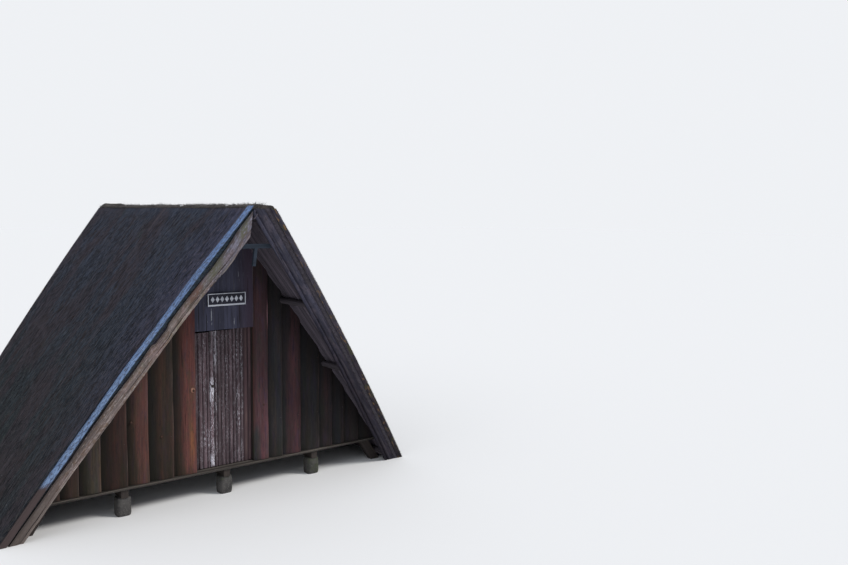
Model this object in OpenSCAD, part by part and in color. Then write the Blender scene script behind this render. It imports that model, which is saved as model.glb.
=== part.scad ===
// A small A-frame hut: two turf slopes on pole framing, slab gables, one plank door.
// X runs along the front gable, Y to the rear, Z up from the level floor it stands on.

/* [Roof] */
// Height of the ridge above the floor
ridge_h = 3480; // [3100:10:3900]
// Pitch of the two slopes in degrees
pitch = 55.0; // [52:0.2:57]
// Length of the ridge between the two raked verges
ridge_len = 5060; // [4600:20:5600]
// Width of the flat strip along the ridge
ridge_w = 265; // [180:5:320]
// How far each slope bulges outwards at its middle
slope_bow = 45; // [0:5:80]
// Forward lean of the front verge in degrees
front_rake = 13.5; // [8:0.5:16]
// Lean of the rear verge in degrees
rear_rake = 10; // [6:0.5:14]
// Thickness of the turf
turf_t = 130; // [100:5:160]
// Thickness of the sod strip that caps the ridge
cap_t = 40; // [25:5:60]
// Thickness of the pole lathing under the turf
deck_t = 20; // [15:1:30]
// Diameter of the purlins and the ridge pole
purlin_d = 80; // [60:5:90]
// Depth of the rafters across the slope
rafter_h = 110; // [80:5:130]
// Width of the rafters along the ridge
rafter_w = 90; // [70:5:120]

/* [Verges] */
// Thickness of the boards on the verges
verge_t = 30; // [20:1:40]
// Depth of the batten that holds the turf's edge
batten_h = 70; // [50:5:80]
// How far the batten stands above the turf
batten_rise = 8; // [0:1:15]
// Depth of the turf edge that shows between batten and bargeboard
edge_gap = 38; // [20:2:45]
// Depth of the bargeboard
barge_h = 135; // [120:5:160]
// Height of the short tie under the apex, measured below the ridge
apex_tie_drop = 430; // [380:10:520]
// Depth of the apex tie
apex_tie_h = 50; // [40:5:70]
// Length of the hanger under the apex tie
hanger_len = 200; // [120:10:260]
// Width of the hanger
hanger_w = 36; // [24:2:50]

/* [Base] */
// Height of the footing blocks and joists together
base_h = 300; // [240:10:360]
// Side of a square footing block
block_w = 170; // [140:5:220]
// Distance from the middle joist to an outer one
joist_x = 1220; // [1000:10:1400]
// Width of a joist
joist_w = 80; // [60:5:110]
// Depth of a joist
joist_h = 90; // [70:5:120]
// Thickness of the floor boards
floor_t = 30; // [22:1:40]
// How far the sill plank stands out in front of the slabs
sill_lip = 25; // [10:5:40]

/* [Gable walls] */
// How far the foot of the front verge stands in front of the front wall
front_foot = 112.5; // [90:2.5:200]
// How far the foot of the rear verge stands behind the rear wall
rear_foot = 118.5; // [90:1.5:210]
// Width of an ordinary wall slab
slab_w = 250; // [200:5:300]
// Thickness of a slab at its proud edge
slab_t = 55; // [45:1:70]
// How much thinner a slab is at its tucked edge
slab_step = 34; // [20:1:38]
// Depth of the rails that the slabs are nailed to
rail_t = 50; // [40:5:60]
// Height of a rail
rail_h = 80; // [60:5:100]
// Height of the lower rail above the floor boards
rail_low = 450; // [350:10:600]
// Height of the upper rail above the floor boards
rail_high = 1150; // [1000:10:1250]

/* [Door] */
// Width of the door leaf
door_w = 725; // [660:5:760]
// Height of the door leaf
door_h = 1662; // [1600:2:1700]
// Thickness of the slats
slat_t = 18; // [14:1:22]
// Number of slats
slat_n = 15; // [11:1:17]
// Thickness of the ledges behind the slats
ledge_t = 24; // [20:1:30]
// Height of a ledge
ledge_h = 90; // [70:5:110]
// Gap between the leaf and its frame
door_gap = 8; // [8:1:11]
// How far the slabs stand back from the leaf's edge
reveal = 12; // [12:1:20]
// Gap between the top of the leaf and the slabs over it
top_reveal = 3; // [2:1:6]
// Setback of the leaf's face from the face of the slabs
door_setback = 73; // [64:1:80]
// Width of a door post
post_w = 90; // [70:5:110]
// Height of the door head
head_h = 90; // [70:5:110]
// Diameter of the hinge pins
pin_d = 14; // [12:1:16]
// Clearance round a hinge pin
pin_gap = 0.6; // [0.5:0.1:1]
// Distance of the straps from the ends of the leaf
strap_inset = 240; // [150:10:320]
// Length of a strap hinge
strap_len = 420; // [300:10:520]
// Height of a strap
strap_h = 40; // [34:1:50]
// Thickness of a strap
strap_t = 5; // [4:0.5:6]
// Diameter of the peg that pulls the door shut
peg_d = 38; // [30:1:50]
// Height of the peg above the bottom of the leaf
peg_rise = 990; // [700:10:1200]
// Length of the peg outside the leaf
peg_len = 30; // [20:2:50]

/* [Hidden] */

seat = 0.3;
far = 4000;
facets = 8;
ridge_over = 0.2;
slab_bite = 4;

ridge_x = ridge_w / 2;
eave_x = ridge_x + ridge_h / tan(pitch);
front_y = -ridge_len / 2;
rear_y = ridge_len / 2;
wall_y = verge_front(0, 0) + front_foot;
rear_wall_y = verge_rear(0, 0) - rear_foot;
wall_span = rear_wall_y - wall_y;

lathing_in = turf_t + deck_t;
rafter_out = lathing_in + purlin_d + 2 * seat;
rafter_in = rafter_out + rafter_h;
barge_out = batten_h - batten_rise + edge_gap;
barge_in = barge_out + barge_h;
purlin_low_s = 0.5 / facets;
purlin_mid_s = 3.5 / facets;
purlin_high_s = 5.5 / facets;

floor_z = base_h + floor_t;
floor_gap = 5;
floor_x = inner_x(floor_z, rafter_in) - floor_gap;
rafter_y1 = wall_y + slab_t;
rafter_y4 = rear_wall_y - slab_t - rafter_w;
rafter_step = (rafter_y4 - rafter_y1) / 3;

door_clear = 8;
door_z = floor_z + door_clear;
door_top = door_z + door_h;
leaf_y = wall_y + door_setback;
leaf_t = slat_t + ledge_t;
leaf_back = leaf_y + leaf_t;
post_x = door_w / 2 + door_gap;
post_y = wall_y + slab_t;
opening_x = door_w / 2 + reveal;
slat_w = door_w / slat_n;
knuckle_r = pin_d / 2 + pin_gap + 6;
pin_x = post_x;
pin_y = leaf_back + strap_t + pin_d / 2 + pin_gap + 2;
strap_zs = [door_z + strap_inset, door_top - strap_inset];
peg_x = -door_w / 2 + 4.5 * slat_w;
peg_z = door_z + peg_rise;

// Widths of the slabs as shares of slab_w, outwards from the doorway, and over the doorway.
slabs_left = [1.09, 1.16, 0.96, 1.16, 0.92, 0.8, 1, 1.1, 1];
slabs_right = [0.76, 0.8, 1.04, 1.12, 0.8, 0.76, 0.9, 1.05, 1, 1];
slabs_over = [for (share = [0.3, 0.37, 0.33]) share * 2 * opening_x / slab_w];
slabs_outwards = [for (i = [len(slabs_left) - 1 : -1 : 0]) slabs_left[i]];
left_reach = slab_w * share_sum(slabs_left, len(slabs_left));

turf_c = "#3b3734";
sod_c = "#45413a";
lath_c = "#4b4038";
pole_c = "#54483f";
batten_c = "#8798b5";
barge_c = "#8a7f76";
slab_c = "#6b4a41";
plank_c = "#6f665f";
stone_c = "#5a5856";
door_c = "#6a5861";
iron_c = "#3c3836";

// How far the bowed slope stands outside its chord, s from 0 at the foot to 1 at the ridge.
function bow(s) = s > 1 ? 0 : 4 * slope_bow * s * (1 - s);

// A point of the left slope at place s, t below the outer surface.
function slope_pt(s, t) = [
    -eave_x + (eave_x - ridge_x) * s - sin(pitch) * (bow(s) - t),
    ridge_h * s + cos(pitch) * (bow(s) - t)
];

// The places along the slope where its facets meet, and one past the ridge.
slope_s = [for (i = [0 : facets]) i / facets, 1 + ridge_over];

// Half width inside a layer t below the surface at height z, left of any bow.
function inner_x(z, t) = ridge_x + (ridge_h - z) / tan(pitch) - t / sin(pitch);

// Middle of the facet at place s, t below the surface.
function facet_mid(s, t) =
    (slope_pt(s - 0.5 / facets, t) + slope_pt(s + 0.5 / facets, t)) / 2;

// Height where layer t meets the middle plane.
function apex_z(t) = ridge_h + ridge_x * tan(pitch) - t / cos(pitch);

// Front and rear verge planes at height z, set in by d.
function verge_front(z, d) = front_y + tan(front_rake) * (ridge_h - z) + d;
function verge_rear(z, d) = rear_y - tan(rear_rake) * (ridge_h - z) - d;

// Extrudes an outline of x and z points from y0 to y1.
module along_y(pts, y0, y1) {
    translate([0, y1, 0])
        rotate([90, 0, 0])
            linear_extrude(y1 - y0)
                polygon(pts);
}

// Extrudes an outline of y and z points across the whole width.
module along_x(pts) {
    translate([-far, 0, 0])
        rotate([90, 0, 90])
            linear_extrude(2 * far)
                polygon(pts);
}

// The left half of a layer between depths t0 and t1, cut at the floor and at z1.
module left_layer(t0, t1, y0 = -far, y1 = far, z1 = ridge_h, gap = 0) {
    outer = [for (s = slope_s) slope_pt(s, t0)];
    inner = [for (i = [len(slope_s) - 1 : -1 : 0]) slope_pt(slope_s[i], t1)];
    intersection() {
        along_y(concat(outer, inner), y0, y1);
        translate([-far, -far, 0])
            cube([far - gap, 2 * far, z1]);
    }
}

// Everything inside layer t of both slopes, between heights z0 and z1.
module under_slopes(t, y0, y1, z0, z1) {
    left = [for (s = slope_s) if (slope_pt(s, t)[0] < 0) slope_pt(s, t)];
    right = [for (i = [len(left) - 1 : -1 : 0]) [-left[i][0], left[i][1]]];
    intersection() {
        along_y(concat(left, [[0, apex_z(t)]], right), y0, y1);
        translate([-far, -far, z0])
            cube([2 * far, 2 * far, z1 - z0]);
    }
}

// The space between the two raked verges, set in by d.
module between_verges(d) {
    along_x([
        [verge_front(0, d), 0], [verge_rear(0, d), 0],
        [verge_rear(ridge_h, d), ridge_h], [verge_front(ridge_h, d), ridge_h]
    ]);
}

// A raked sheet along the front verge, from d0 to d1 behind it.
module front_sheet(d0, d1) {
    along_x([
        [verge_front(0, d0), 0], [verge_front(0, d1), 0],
        [verge_front(ridge_h, d1), ridge_h], [verge_front(ridge_h, d0), ridge_h]
    ]);
}

// The same along the rear verge.
module rear_sheet(d0, d1) {
    along_x([
        [verge_rear(0, d1), 0], [verge_rear(0, d0), 0],
        [verge_rear(ridge_h, d0), ridge_h], [verge_rear(ridge_h, d1), ridge_h]
    ]);
}

module right_of_left() {
    mirror([1, 0, 0])
        children();
}

// A row of square blocks under the three joists.
module footings(y) {
    color(stone_c)
        for (x = [-joist_x, 0, joist_x])
            translate([x - block_w / 2, y - block_w / 2, 0])
                cube([block_w, block_w, base_h - joist_h]);
}

module floor_joists() {
    color(pole_c)
        for (x = [-joist_x, 0, joist_x])
            translate([x - joist_w / 2, wall_y, base_h - joist_h])
                cube([joist_w, wall_span, joist_h]);
}

module floor_boards() {
    color(plank_c)
        translate([-floor_x, wall_y + slab_t, base_h])
            cube([2 * floor_x, wall_span - 2 * slab_t, floor_t]);
}

// The plank that the slabs stand on, from lathing to lathing.
module sill(y0, y1) {
    color(plank_c)
        under_slopes(lathing_in + seat, y0, y1, base_h, floor_z);
}

// One pair of rafters, halved together under the ridge pole.
module rafters(y0) {
    color(pole_c)
        union() {
            left_layer(rafter_out, rafter_in, y0, y0 + rafter_w);
            right_of_left()
                left_layer(rafter_out, rafter_in, y0, y0 + rafter_w);
        }
}

// A purlin at place s of the left slope, cut to the rake of both verges.
module purlin(s) {
    c = facet_mid(s, lathing_in + seat + purlin_d / 2);
    color(pole_c)
        intersection() {
            translate([c[0], far, c[1]])
                rotate([90, 0, 0])
                    cylinder(d = purlin_d, h = 2 * far, $fn = 32);
            between_verges(verge_t);
        }
}

module ridge_pole() {
    color(pole_c)
        intersection() {
            translate([0, far, apex_z(lathing_in + seat + purlin_d / 2)])
                rotate([90, 0, 0])
                    cylinder(d = purlin_d, h = 2 * far, $fn = 32);
            between_verges(verge_t);
        }
}

module lathing_left() {
    color(lath_c)
        intersection() {
            left_layer(turf_t, lathing_in, z1 = ridge_h - cap_t);
            between_verges(verge_t);
        }
}

module turf_left() {
    color(turf_c)
        intersection() {
            left_layer(0, turf_t, z1 = ridge_h - cap_t);
            between_verges(verge_t);
        }
}

// The sod strip along the ridge, as wide as the turf below it.
module ridge_sod() {
    low_x = inner_x(ridge_h - cap_t, 0);
    color(sod_c)
        intersection() {
            along_y([
                [-low_x, ridge_h - cap_t], [-ridge_x, ridge_h], [ridge_x, ridge_h], [low_x, ridge_h - cap_t]
            ], -far, far);
            between_verges(0);
        }
}

module verge_batten_front_left() {
    color(batten_c)
        intersection() {
            left_layer(-batten_rise, batten_h - batten_rise, z1 = ridge_h - cap_t);
            front_sheet(0, verge_t);
        }
}

module verge_batten_rear_left() {
    color(batten_c)
        intersection() {
            left_layer(-batten_rise, batten_h - batten_rise, z1 = ridge_h - cap_t);
            rear_sheet(0, verge_t);
        }
}

module bargeboard_front_left() {
    color(barge_c)
        intersection() {
            left_layer(barge_out, barge_in, z1 = ridge_h - cap_t);
            front_sheet(0, verge_t);
        }
}

module bargeboard_rear_left() {
    color(barge_c)
        intersection() {
            left_layer(barge_out, barge_in, z1 = ridge_h - cap_t);
            rear_sheet(0, verge_t);
        }
}

// The short tie under the apex with its hanger, as an outline behind the bargeboards.
module apex_tie_body() {
    top = ridge_h - apex_tie_drop;
    union() {
        under_slopes(lathing_in + seat, -far, far, top - apex_tie_h, top);
        translate([-hanger_w / 2, -far, top - apex_tie_h - hanger_len])
            cube([hanger_w, 2 * far, hanger_len + apex_tie_h / 2]);
    }
}

module apex_tie_front() {
    color(pole_c)
        intersection() {
            apex_tie_body();
            front_sheet(verge_t, 2 * verge_t);
        }
}

module apex_tie_rear() {
    color(pole_c)
        intersection() {
            apex_tie_body();
            rear_sheet(verge_t, 2 * verge_t);
        }
}

// One slab from x0 to x1, rounded from a tucked left edge to a proud right one.
module slab(x0, x1, h) {
    w = x1 - x0;
    r = (w * w + slab_step * slab_step) / (2 * slab_step);
    intersection() {
        translate([x1, r, 0])
            cylinder(r = r, h = h, $fn = 180);
        translate([x0, -slab_bite, 0])
            cube([w, slab_t + slab_bite, h]);
    }
}

// The sum of the first n of a list of shares.
function share_sum(shares, n) = n == 0 ? 0 : shares[n - 1] + share_sum(shares, n - 1);

// Slabs side by side on one thin backing, from x0 to the right.
module slabs(x0, shares) {
    union() {
        translate([x0, slab_step + slab_bite, 0])
            cube([slab_w * share_sum(shares, len(shares)), slab_t - slab_step - slab_bite, ridge_h]);
        for (i = [0 : len(shares) - 1])
            slab(x0 + slab_w * share_sum(shares, i), x0 + slab_w * share_sum(shares, i + 1), ridge_h);
    }
}

// Square housings in the slabs for the purlins and the ridge pole.
module pole_housings(y0, y1) {
    side = purlin_d + 2 * seat;
    mid = lathing_in + seat + purlin_d / 2;
    for (m = [0, 1], s = [purlin_low_s, purlin_mid_s, purlin_high_s])
        mirror([m, 0, 0])
            translate([facet_mid(s, mid)[0], y0, facet_mid(s, mid)[1]])
                rotate([0, -pitch, 0])
                    translate([-side / 2, 0, -side / 2])
                        cube([side, y1 - y0, side + 4]);
    translate([-side / 2, y0, apex_z(mid) - side / 2])
        cube([side, y1 - y0, side + purlin_d]);
}

// Trims a stretch of slabs under the lathing, from height z0 up, and cuts the housings.
module gable_cut(z0) {
    difference() {
        intersection() {
            children();
            under_slopes(lathing_in + seat, -far, far, z0, ridge_h);
        }
        pole_housings(-far, far);
    }
}

module front_wall_left() {
    color(slab_c)
        translate([0, wall_y, 0])
            gable_cut(floor_z)
                slabs(-opening_x - left_reach, slabs_outwards);
}

module front_wall_right() {
    color(slab_c)
        translate([0, wall_y, 0])
            gable_cut(floor_z)
                slabs(opening_x, slabs_right);
}

module front_wall_top() {
    color(slab_c)
        translate([0, wall_y, 0])
            gable_cut(door_top + top_reveal)
                slabs(-opening_x, slabs_over);
}

// The closed rear gable, the same slabs seen from behind.
module rear_wall() {
    color(slab_c)
        translate([0, rear_wall_y, 0])
            rotate([0, 0, 180])
                gable_cut(floor_z)
                    slabs(-opening_x - left_reach, concat(slabs_outwards, slabs_over, slabs_right));
}

// Rails behind the slabs on both sides of the doorway.
module front_rails() {
    color(pole_c)
        for (m = [0, 1], z = [rail_low, rail_high])
            mirror([m, 0, 0])
                intersection() {
                    under_slopes(rafter_in + seat, post_y, post_y + rail_t, floor_z + z, floor_z + z + rail_h);
                    translate([post_x + post_w, -far, 0])
                        cube([far, 2 * far, ridge_h]);
                }
}

module rear_rails() {
    y1 = rear_wall_y - slab_t;
    color(pole_c)
        for (z = [rail_low, rail_high])
            under_slopes(rafter_in + seat, y1 - rail_t, y1, floor_z + z, floor_z + z + rail_h);
}

module door_post_left() {
    color(pole_c)
        translate([-post_x - post_w, post_y, floor_z])
            cube([post_w, leaf_back - post_y, door_top + door_gap - floor_z]);
}

module door_post_right() {
    right_of_left()
        door_post_left();
}

module door_head() {
    color(pole_c)
        translate([-post_x - post_w, post_y, door_top + door_gap])
            cube([2 * (post_x + post_w), leaf_back - post_y, head_h]);
}

// The two pintles on the right post: a plate, an arm and an upright pin.
module hinge_pintles() {
    plate_w = 60;
    arm_h = 12;
    for (z = strap_zs)
        color(iron_c)
            union() {
                translate([pin_x + knuckle_r, leaf_back, z - 2 * strap_h])
                    cube([plate_w - knuckle_r, strap_t, 2 * strap_h]);
                translate([pin_x, leaf_back, z - strap_h / 2 - 1 - arm_h])
                    cube([knuckle_r + 4, pin_y - leaf_back + pin_d / 2, arm_h]);
                translate([pin_x, pin_y, z - strap_h / 2 - 1 - arm_h])
                    cylinder(d = pin_d, h = strap_h + arm_h + 10, $fn = 32);
            }
}

// The leaf: slats with rounded faces side by side.
module door_slats() {
    r = slat_w / 2 + 3;
    color(door_c)
        translate([-door_w / 2, leaf_y, door_z])
            union() {
                translate([0, slat_t - 6, 0])
                    cube([door_w, 6, door_h]);
                for (i = [0 : slat_n - 1])
                    intersection() {
                        translate([(i + 0.5) * slat_w, r, 0])
                            cylinder(r = r, h = door_h, $fn = 48);
                        translate([i * slat_w, 0, 0])
                            cube([slat_w, slat_t, door_h]);
                    }
            }
}

module door_ledges() {
    color(door_c)
        for (z = [strap_zs[0], (strap_zs[0] + strap_zs[1]) / 2, strap_zs[1]])
            translate([-door_w / 2 + 15, leaf_y + slat_t, z - ledge_h / 2])
                cube([door_w - 15 - knuckle_r, ledge_t, ledge_h]);
}

// Straps across the ledges, each ending in a knuckle round its pin.
module hinge_straps() {
    for (z = strap_zs)
        color(iron_c)
            difference() {
                union() {
                    translate([pin_x - strap_len, leaf_back, z - strap_h / 2])
                        cube([strap_len - knuckle_r + 3, strap_t, strap_h]);
                    translate([pin_x - knuckle_r - 4, leaf_back, z - strap_h / 2])
                        cube([knuckle_r, pin_y - leaf_back, strap_h]);
                    translate([pin_x, pin_y, z - strap_h / 2])
                        cylinder(r = knuckle_r, h = strap_h, $fn = 48);
                }
                translate([pin_x, pin_y, z - strap_h])
                    cylinder(d = pin_d + 2 * pin_gap, h = 2 * strap_h, $fn = 48);
            }
}

// The round wooden peg on the outer face.
module door_peg() {
    color(iron_c)
        translate([peg_x, leaf_y - seat, peg_z])
            rotate([90, 0, 0])
                cylinder(d = peg_d, h = peg_len, $fn = 32);
}

footings(wall_y + block_w / 2);  // footings_front
footings((wall_y + rear_wall_y) / 2);  // footings_middle
footings(rear_wall_y - block_w / 2);  // footings_rear
floor_joists();
floor_boards();
sill(wall_y - sill_lip, wall_y + slab_t);  // sill_front
sill(rear_wall_y - slab_t, rear_wall_y + sill_lip);  // sill_rear
rafters(rafter_y1);  // rafters_front
rafters(rafter_y1 + rafter_step);  // rafters_second
rafters(rafter_y1 + 2 * rafter_step);  // rafters_third
rafters(rafter_y4);  // rafters_rear
purlin(purlin_low_s);  // purlin_low_left
purlin(purlin_mid_s);  // purlin_mid_left
purlin(purlin_high_s);  // purlin_high_left
right_of_left() purlin(purlin_low_s);  // purlin_low_right
right_of_left() purlin(purlin_mid_s);  // purlin_mid_right
right_of_left() purlin(purlin_high_s);  // purlin_high_right
ridge_pole();
lathing_left();
right_of_left() lathing_left();  // lathing_right
turf_left();
right_of_left() turf_left();  // turf_right
ridge_sod();
verge_batten_front_left();
right_of_left() verge_batten_front_left();  // verge_batten_front_right
verge_batten_rear_left();
right_of_left() verge_batten_rear_left();  // verge_batten_rear_right
bargeboard_front_left();
right_of_left() bargeboard_front_left();  // bargeboard_front_right
bargeboard_rear_left();
right_of_left() bargeboard_rear_left();  // bargeboard_rear_right
apex_tie_front();
apex_tie_rear();
front_wall_left();
front_wall_right();
front_wall_top();
front_rails();
rear_wall();
rear_rails();
door_post_left();
door_post_right();
door_head();
hinge_pintles();
door_slats();
door_ledges();
hinge_straps();
door_peg();
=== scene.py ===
"""A small A-frame hut with turf slopes, slab gables and one plank door.

Lengths are metres: X runs along the front gable, Y to the rear, Z up from the floor it stands on."""

import bpy
import numpy as np
from mathutils import Matrix, Vector


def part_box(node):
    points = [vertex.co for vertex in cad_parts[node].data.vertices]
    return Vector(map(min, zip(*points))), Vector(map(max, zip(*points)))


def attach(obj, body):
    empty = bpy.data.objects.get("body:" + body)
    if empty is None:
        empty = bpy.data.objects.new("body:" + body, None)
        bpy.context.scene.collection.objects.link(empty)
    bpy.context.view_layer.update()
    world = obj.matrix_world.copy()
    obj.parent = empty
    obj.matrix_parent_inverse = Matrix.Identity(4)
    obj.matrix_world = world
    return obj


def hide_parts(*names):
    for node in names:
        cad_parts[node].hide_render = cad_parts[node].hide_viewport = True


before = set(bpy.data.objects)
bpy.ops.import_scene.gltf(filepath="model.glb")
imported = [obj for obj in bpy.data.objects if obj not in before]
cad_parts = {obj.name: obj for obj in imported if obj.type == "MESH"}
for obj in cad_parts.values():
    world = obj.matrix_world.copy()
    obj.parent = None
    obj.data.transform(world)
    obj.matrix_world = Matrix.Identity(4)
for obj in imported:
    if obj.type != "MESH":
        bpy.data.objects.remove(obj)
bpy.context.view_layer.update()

# Camera
# The eye stands to the left of the front gable, almost as high as the ridge, and looks a
# little down at the hut, which keeps to the left of the picture.
scene = bpy.context.scene
scene.view_settings.view_transform = "Standard"
EYE = Vector((-4.109, -10.394, 3.401))
YAW, DIP, ROLL = np.radians([39.03, -4.93, 0.56]).tolist()
ahead = Vector((np.sin(YAW) * np.cos(DIP), np.cos(YAW) * np.cos(DIP), np.sin(DIP)))
level = ahead.cross(Vector((0, 0, 1))).normalized()
rise = level.cross(ahead)
right = level * np.cos(ROLL).item() + rise * np.sin(ROLL).item()
upward = right.cross(ahead)
camera = bpy.data.objects.new("camera", bpy.data.cameras.new("camera"))
scene.collection.objects.link(camera)
camera.matrix_world = Matrix.Translation(EYE) @ Matrix((right, upward, -ahead)).transposed().to_4x4()
camera.data.sensor_width = 36
camera.data.lens = 33.96
camera.data.clip_end = 200
scene.camera = camera


# Floor and light
# A wide pale floor that keeps the hut's shadow, one soft far lamp high on the right, a
# weaker one on the left, and an even sky that is seen as pale as the floor is.
def add(tree, kind, feed=None, **settings):
    """Adds a node, sets its properties, and feeds its inputs with values or with other outputs."""
    made = tree.nodes.new(kind)
    for name, value in settings.items():
        setattr(made, name, value)
    for name, value in (feed or {}).items():
        if isinstance(value, bpy.types.NodeSocket):
            tree.links.new(value, made.inputs[name])
        else:
            made.inputs[name].default_value = value
    return made


def calc(tree, operation, first, second=0.0, third=0.0):
    """One step of arithmetic on two or three numbers."""
    return add(tree, "ShaderNodeMath", {0: first, 1: second, 2: third}, operation=operation).outputs[0]


def paint(tree, mask, under, over, mode="MIX"):
    """Lays one colour over another where the mask is 1."""
    return add(tree, "ShaderNodeMix", {0: mask, 6: under, 7: over}, data_type="RGBA",
               blend_type=mode).outputs[2]


def span(tree, value, low, high, to_low=0.0, to_high=1.0):
    """Turns values from low to high into values from to_low to to_high, with soft ends."""
    return add(tree, "ShaderNodeMapRange", {0: value, 1: low, 2: high, 3: to_low, 4: to_high},
               interpolation_type="SMOOTHSTEP").outputs[0]


def material(name):
    """An empty node material, its tree and its Principled shader."""
    made = bpy.data.materials.new(name)
    made.use_nodes = True
    return made, made.node_tree, made.node_tree.nodes["Principled BSDF"]


def dull(shader, roughness, gloss):
    """Sets one roughness and one strength of reflection all over."""
    shader.inputs["Roughness"].default_value = roughness
    shader.inputs["Specular IOR Level"].default_value = gloss


FLOOR_HALF = 150
SKY_SEEN, SKY_LIGHT = (0.863, 0.881, 0.910, 1), (0.50, 0.53, 0.58, 1)
floor_mesh = bpy.data.meshes.new("studio_floor")
floor_mesh.from_pydata([(-FLOOR_HALF, -FLOOR_HALF, 0), (FLOOR_HALF, -FLOOR_HALF, 0),
                        (FLOOR_HALF, FLOOR_HALF, 0), (-FLOOR_HALF, FLOOR_HALF, 0)], [], [(0, 1, 2, 3)])
studio_floor = bpy.data.objects.new("studio_floor", floor_mesh)
scene.collection.objects.link(studio_floor)
floor_paint, tree, shader = material("studio_floor")
shader.inputs["Base Color"].default_value = (0.74, 0.74, 0.74, 1)
dull(shader, 1.0, 0.0)
floor_mesh.materials.append(floor_paint)

world = bpy.data.worlds.new("pale_sky")
scene.world = world
world.use_nodes = True
tree = world.node_tree
rays = add(tree, "ShaderNodeLightPath")
shows = calc(tree, "MAXIMUM", rays.outputs["Is Camera Ray"], rays.outputs["Is Glossy Ray"])
shows = calc(tree, "MAXIMUM", shows, rays.outputs["Is Transmission Ray"])
sky = paint(tree, shows, SKY_LIGHT, SKY_SEEN)
tree.links.new(sky, tree.nodes["Background"].inputs["Color"])


def sun(name, way, strength, softness, colour):
    """A far lamp that shines along a direction, as soft as its angle in degrees is wide."""
    light = bpy.data.lights.new(name, "SUN")
    light.energy, light.angle, light.color = strength, float(np.radians(softness)), colour
    holder = bpy.data.objects.new(name, light)
    scene.collection.objects.link(holder)
    holder.rotation_euler = Vector(way).to_track_quat("-Z", "Y").to_euler()


sun("key_lamp", (-0.66, 0.60, -0.74), 2.4, 18, (1.0, 0.975, 0.94))
sun("fill_lamp", (0.80, 0.34, -0.80), 0.9, 50, (0.93, 0.96, 1.0))

# Footings
# Nine rough stones carry the joists. Each is a block whose corners have weathered round,
# set on the ground without mortar.
GRAIN = np.random.default_rng(7).random((16, 128, 128))


def ripple(x, y, layer=0):
    """Smooth noise from 0 to 1: a table of chance values, each cell joined by eased slopes."""
    table = GRAIN[layer % 16]
    x, y = np.broadcast_arrays(np.asarray(x, float), np.asarray(y, float))
    i, j = np.floor(x).astype(int), np.floor(y).astype(int)
    a, b = x - i, y - j
    a, b = a * a * (3 - 2 * a), b * b * (3 - 2 * b)
    i0, i1, j0, j1 = i % 128, (i + 1) % 128, j % 128, (j + 1) % 128
    low = table[i0, j0] * (1 - a) + table[i1, j0] * a
    high = table[i0, j1] * (1 - a) + table[i1, j1] * a
    return low * (1 - b) + high * b


def rugged(x, y, layer=0, octaves=3):
    """Noise from -1 to 1: each octave has twice the pace and half the height of the one before."""
    total, reach = 0, 0
    for n in range(octaves):
        total = total + (ripple(x * 2**n, y * 2**n, layer + n) * 2 - 1) / 2**n
        reach += 1 / 2**n
    return total / reach


def bulged(angle, power):
    """Cosine and sine drawn towards a square's corners: each is raised to a power and keeps its sign."""
    c, s = np.cos(angle), np.sin(angle)
    return np.sign(c) * np.abs(c) ** power, np.sign(s) * np.abs(s) ** power


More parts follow.
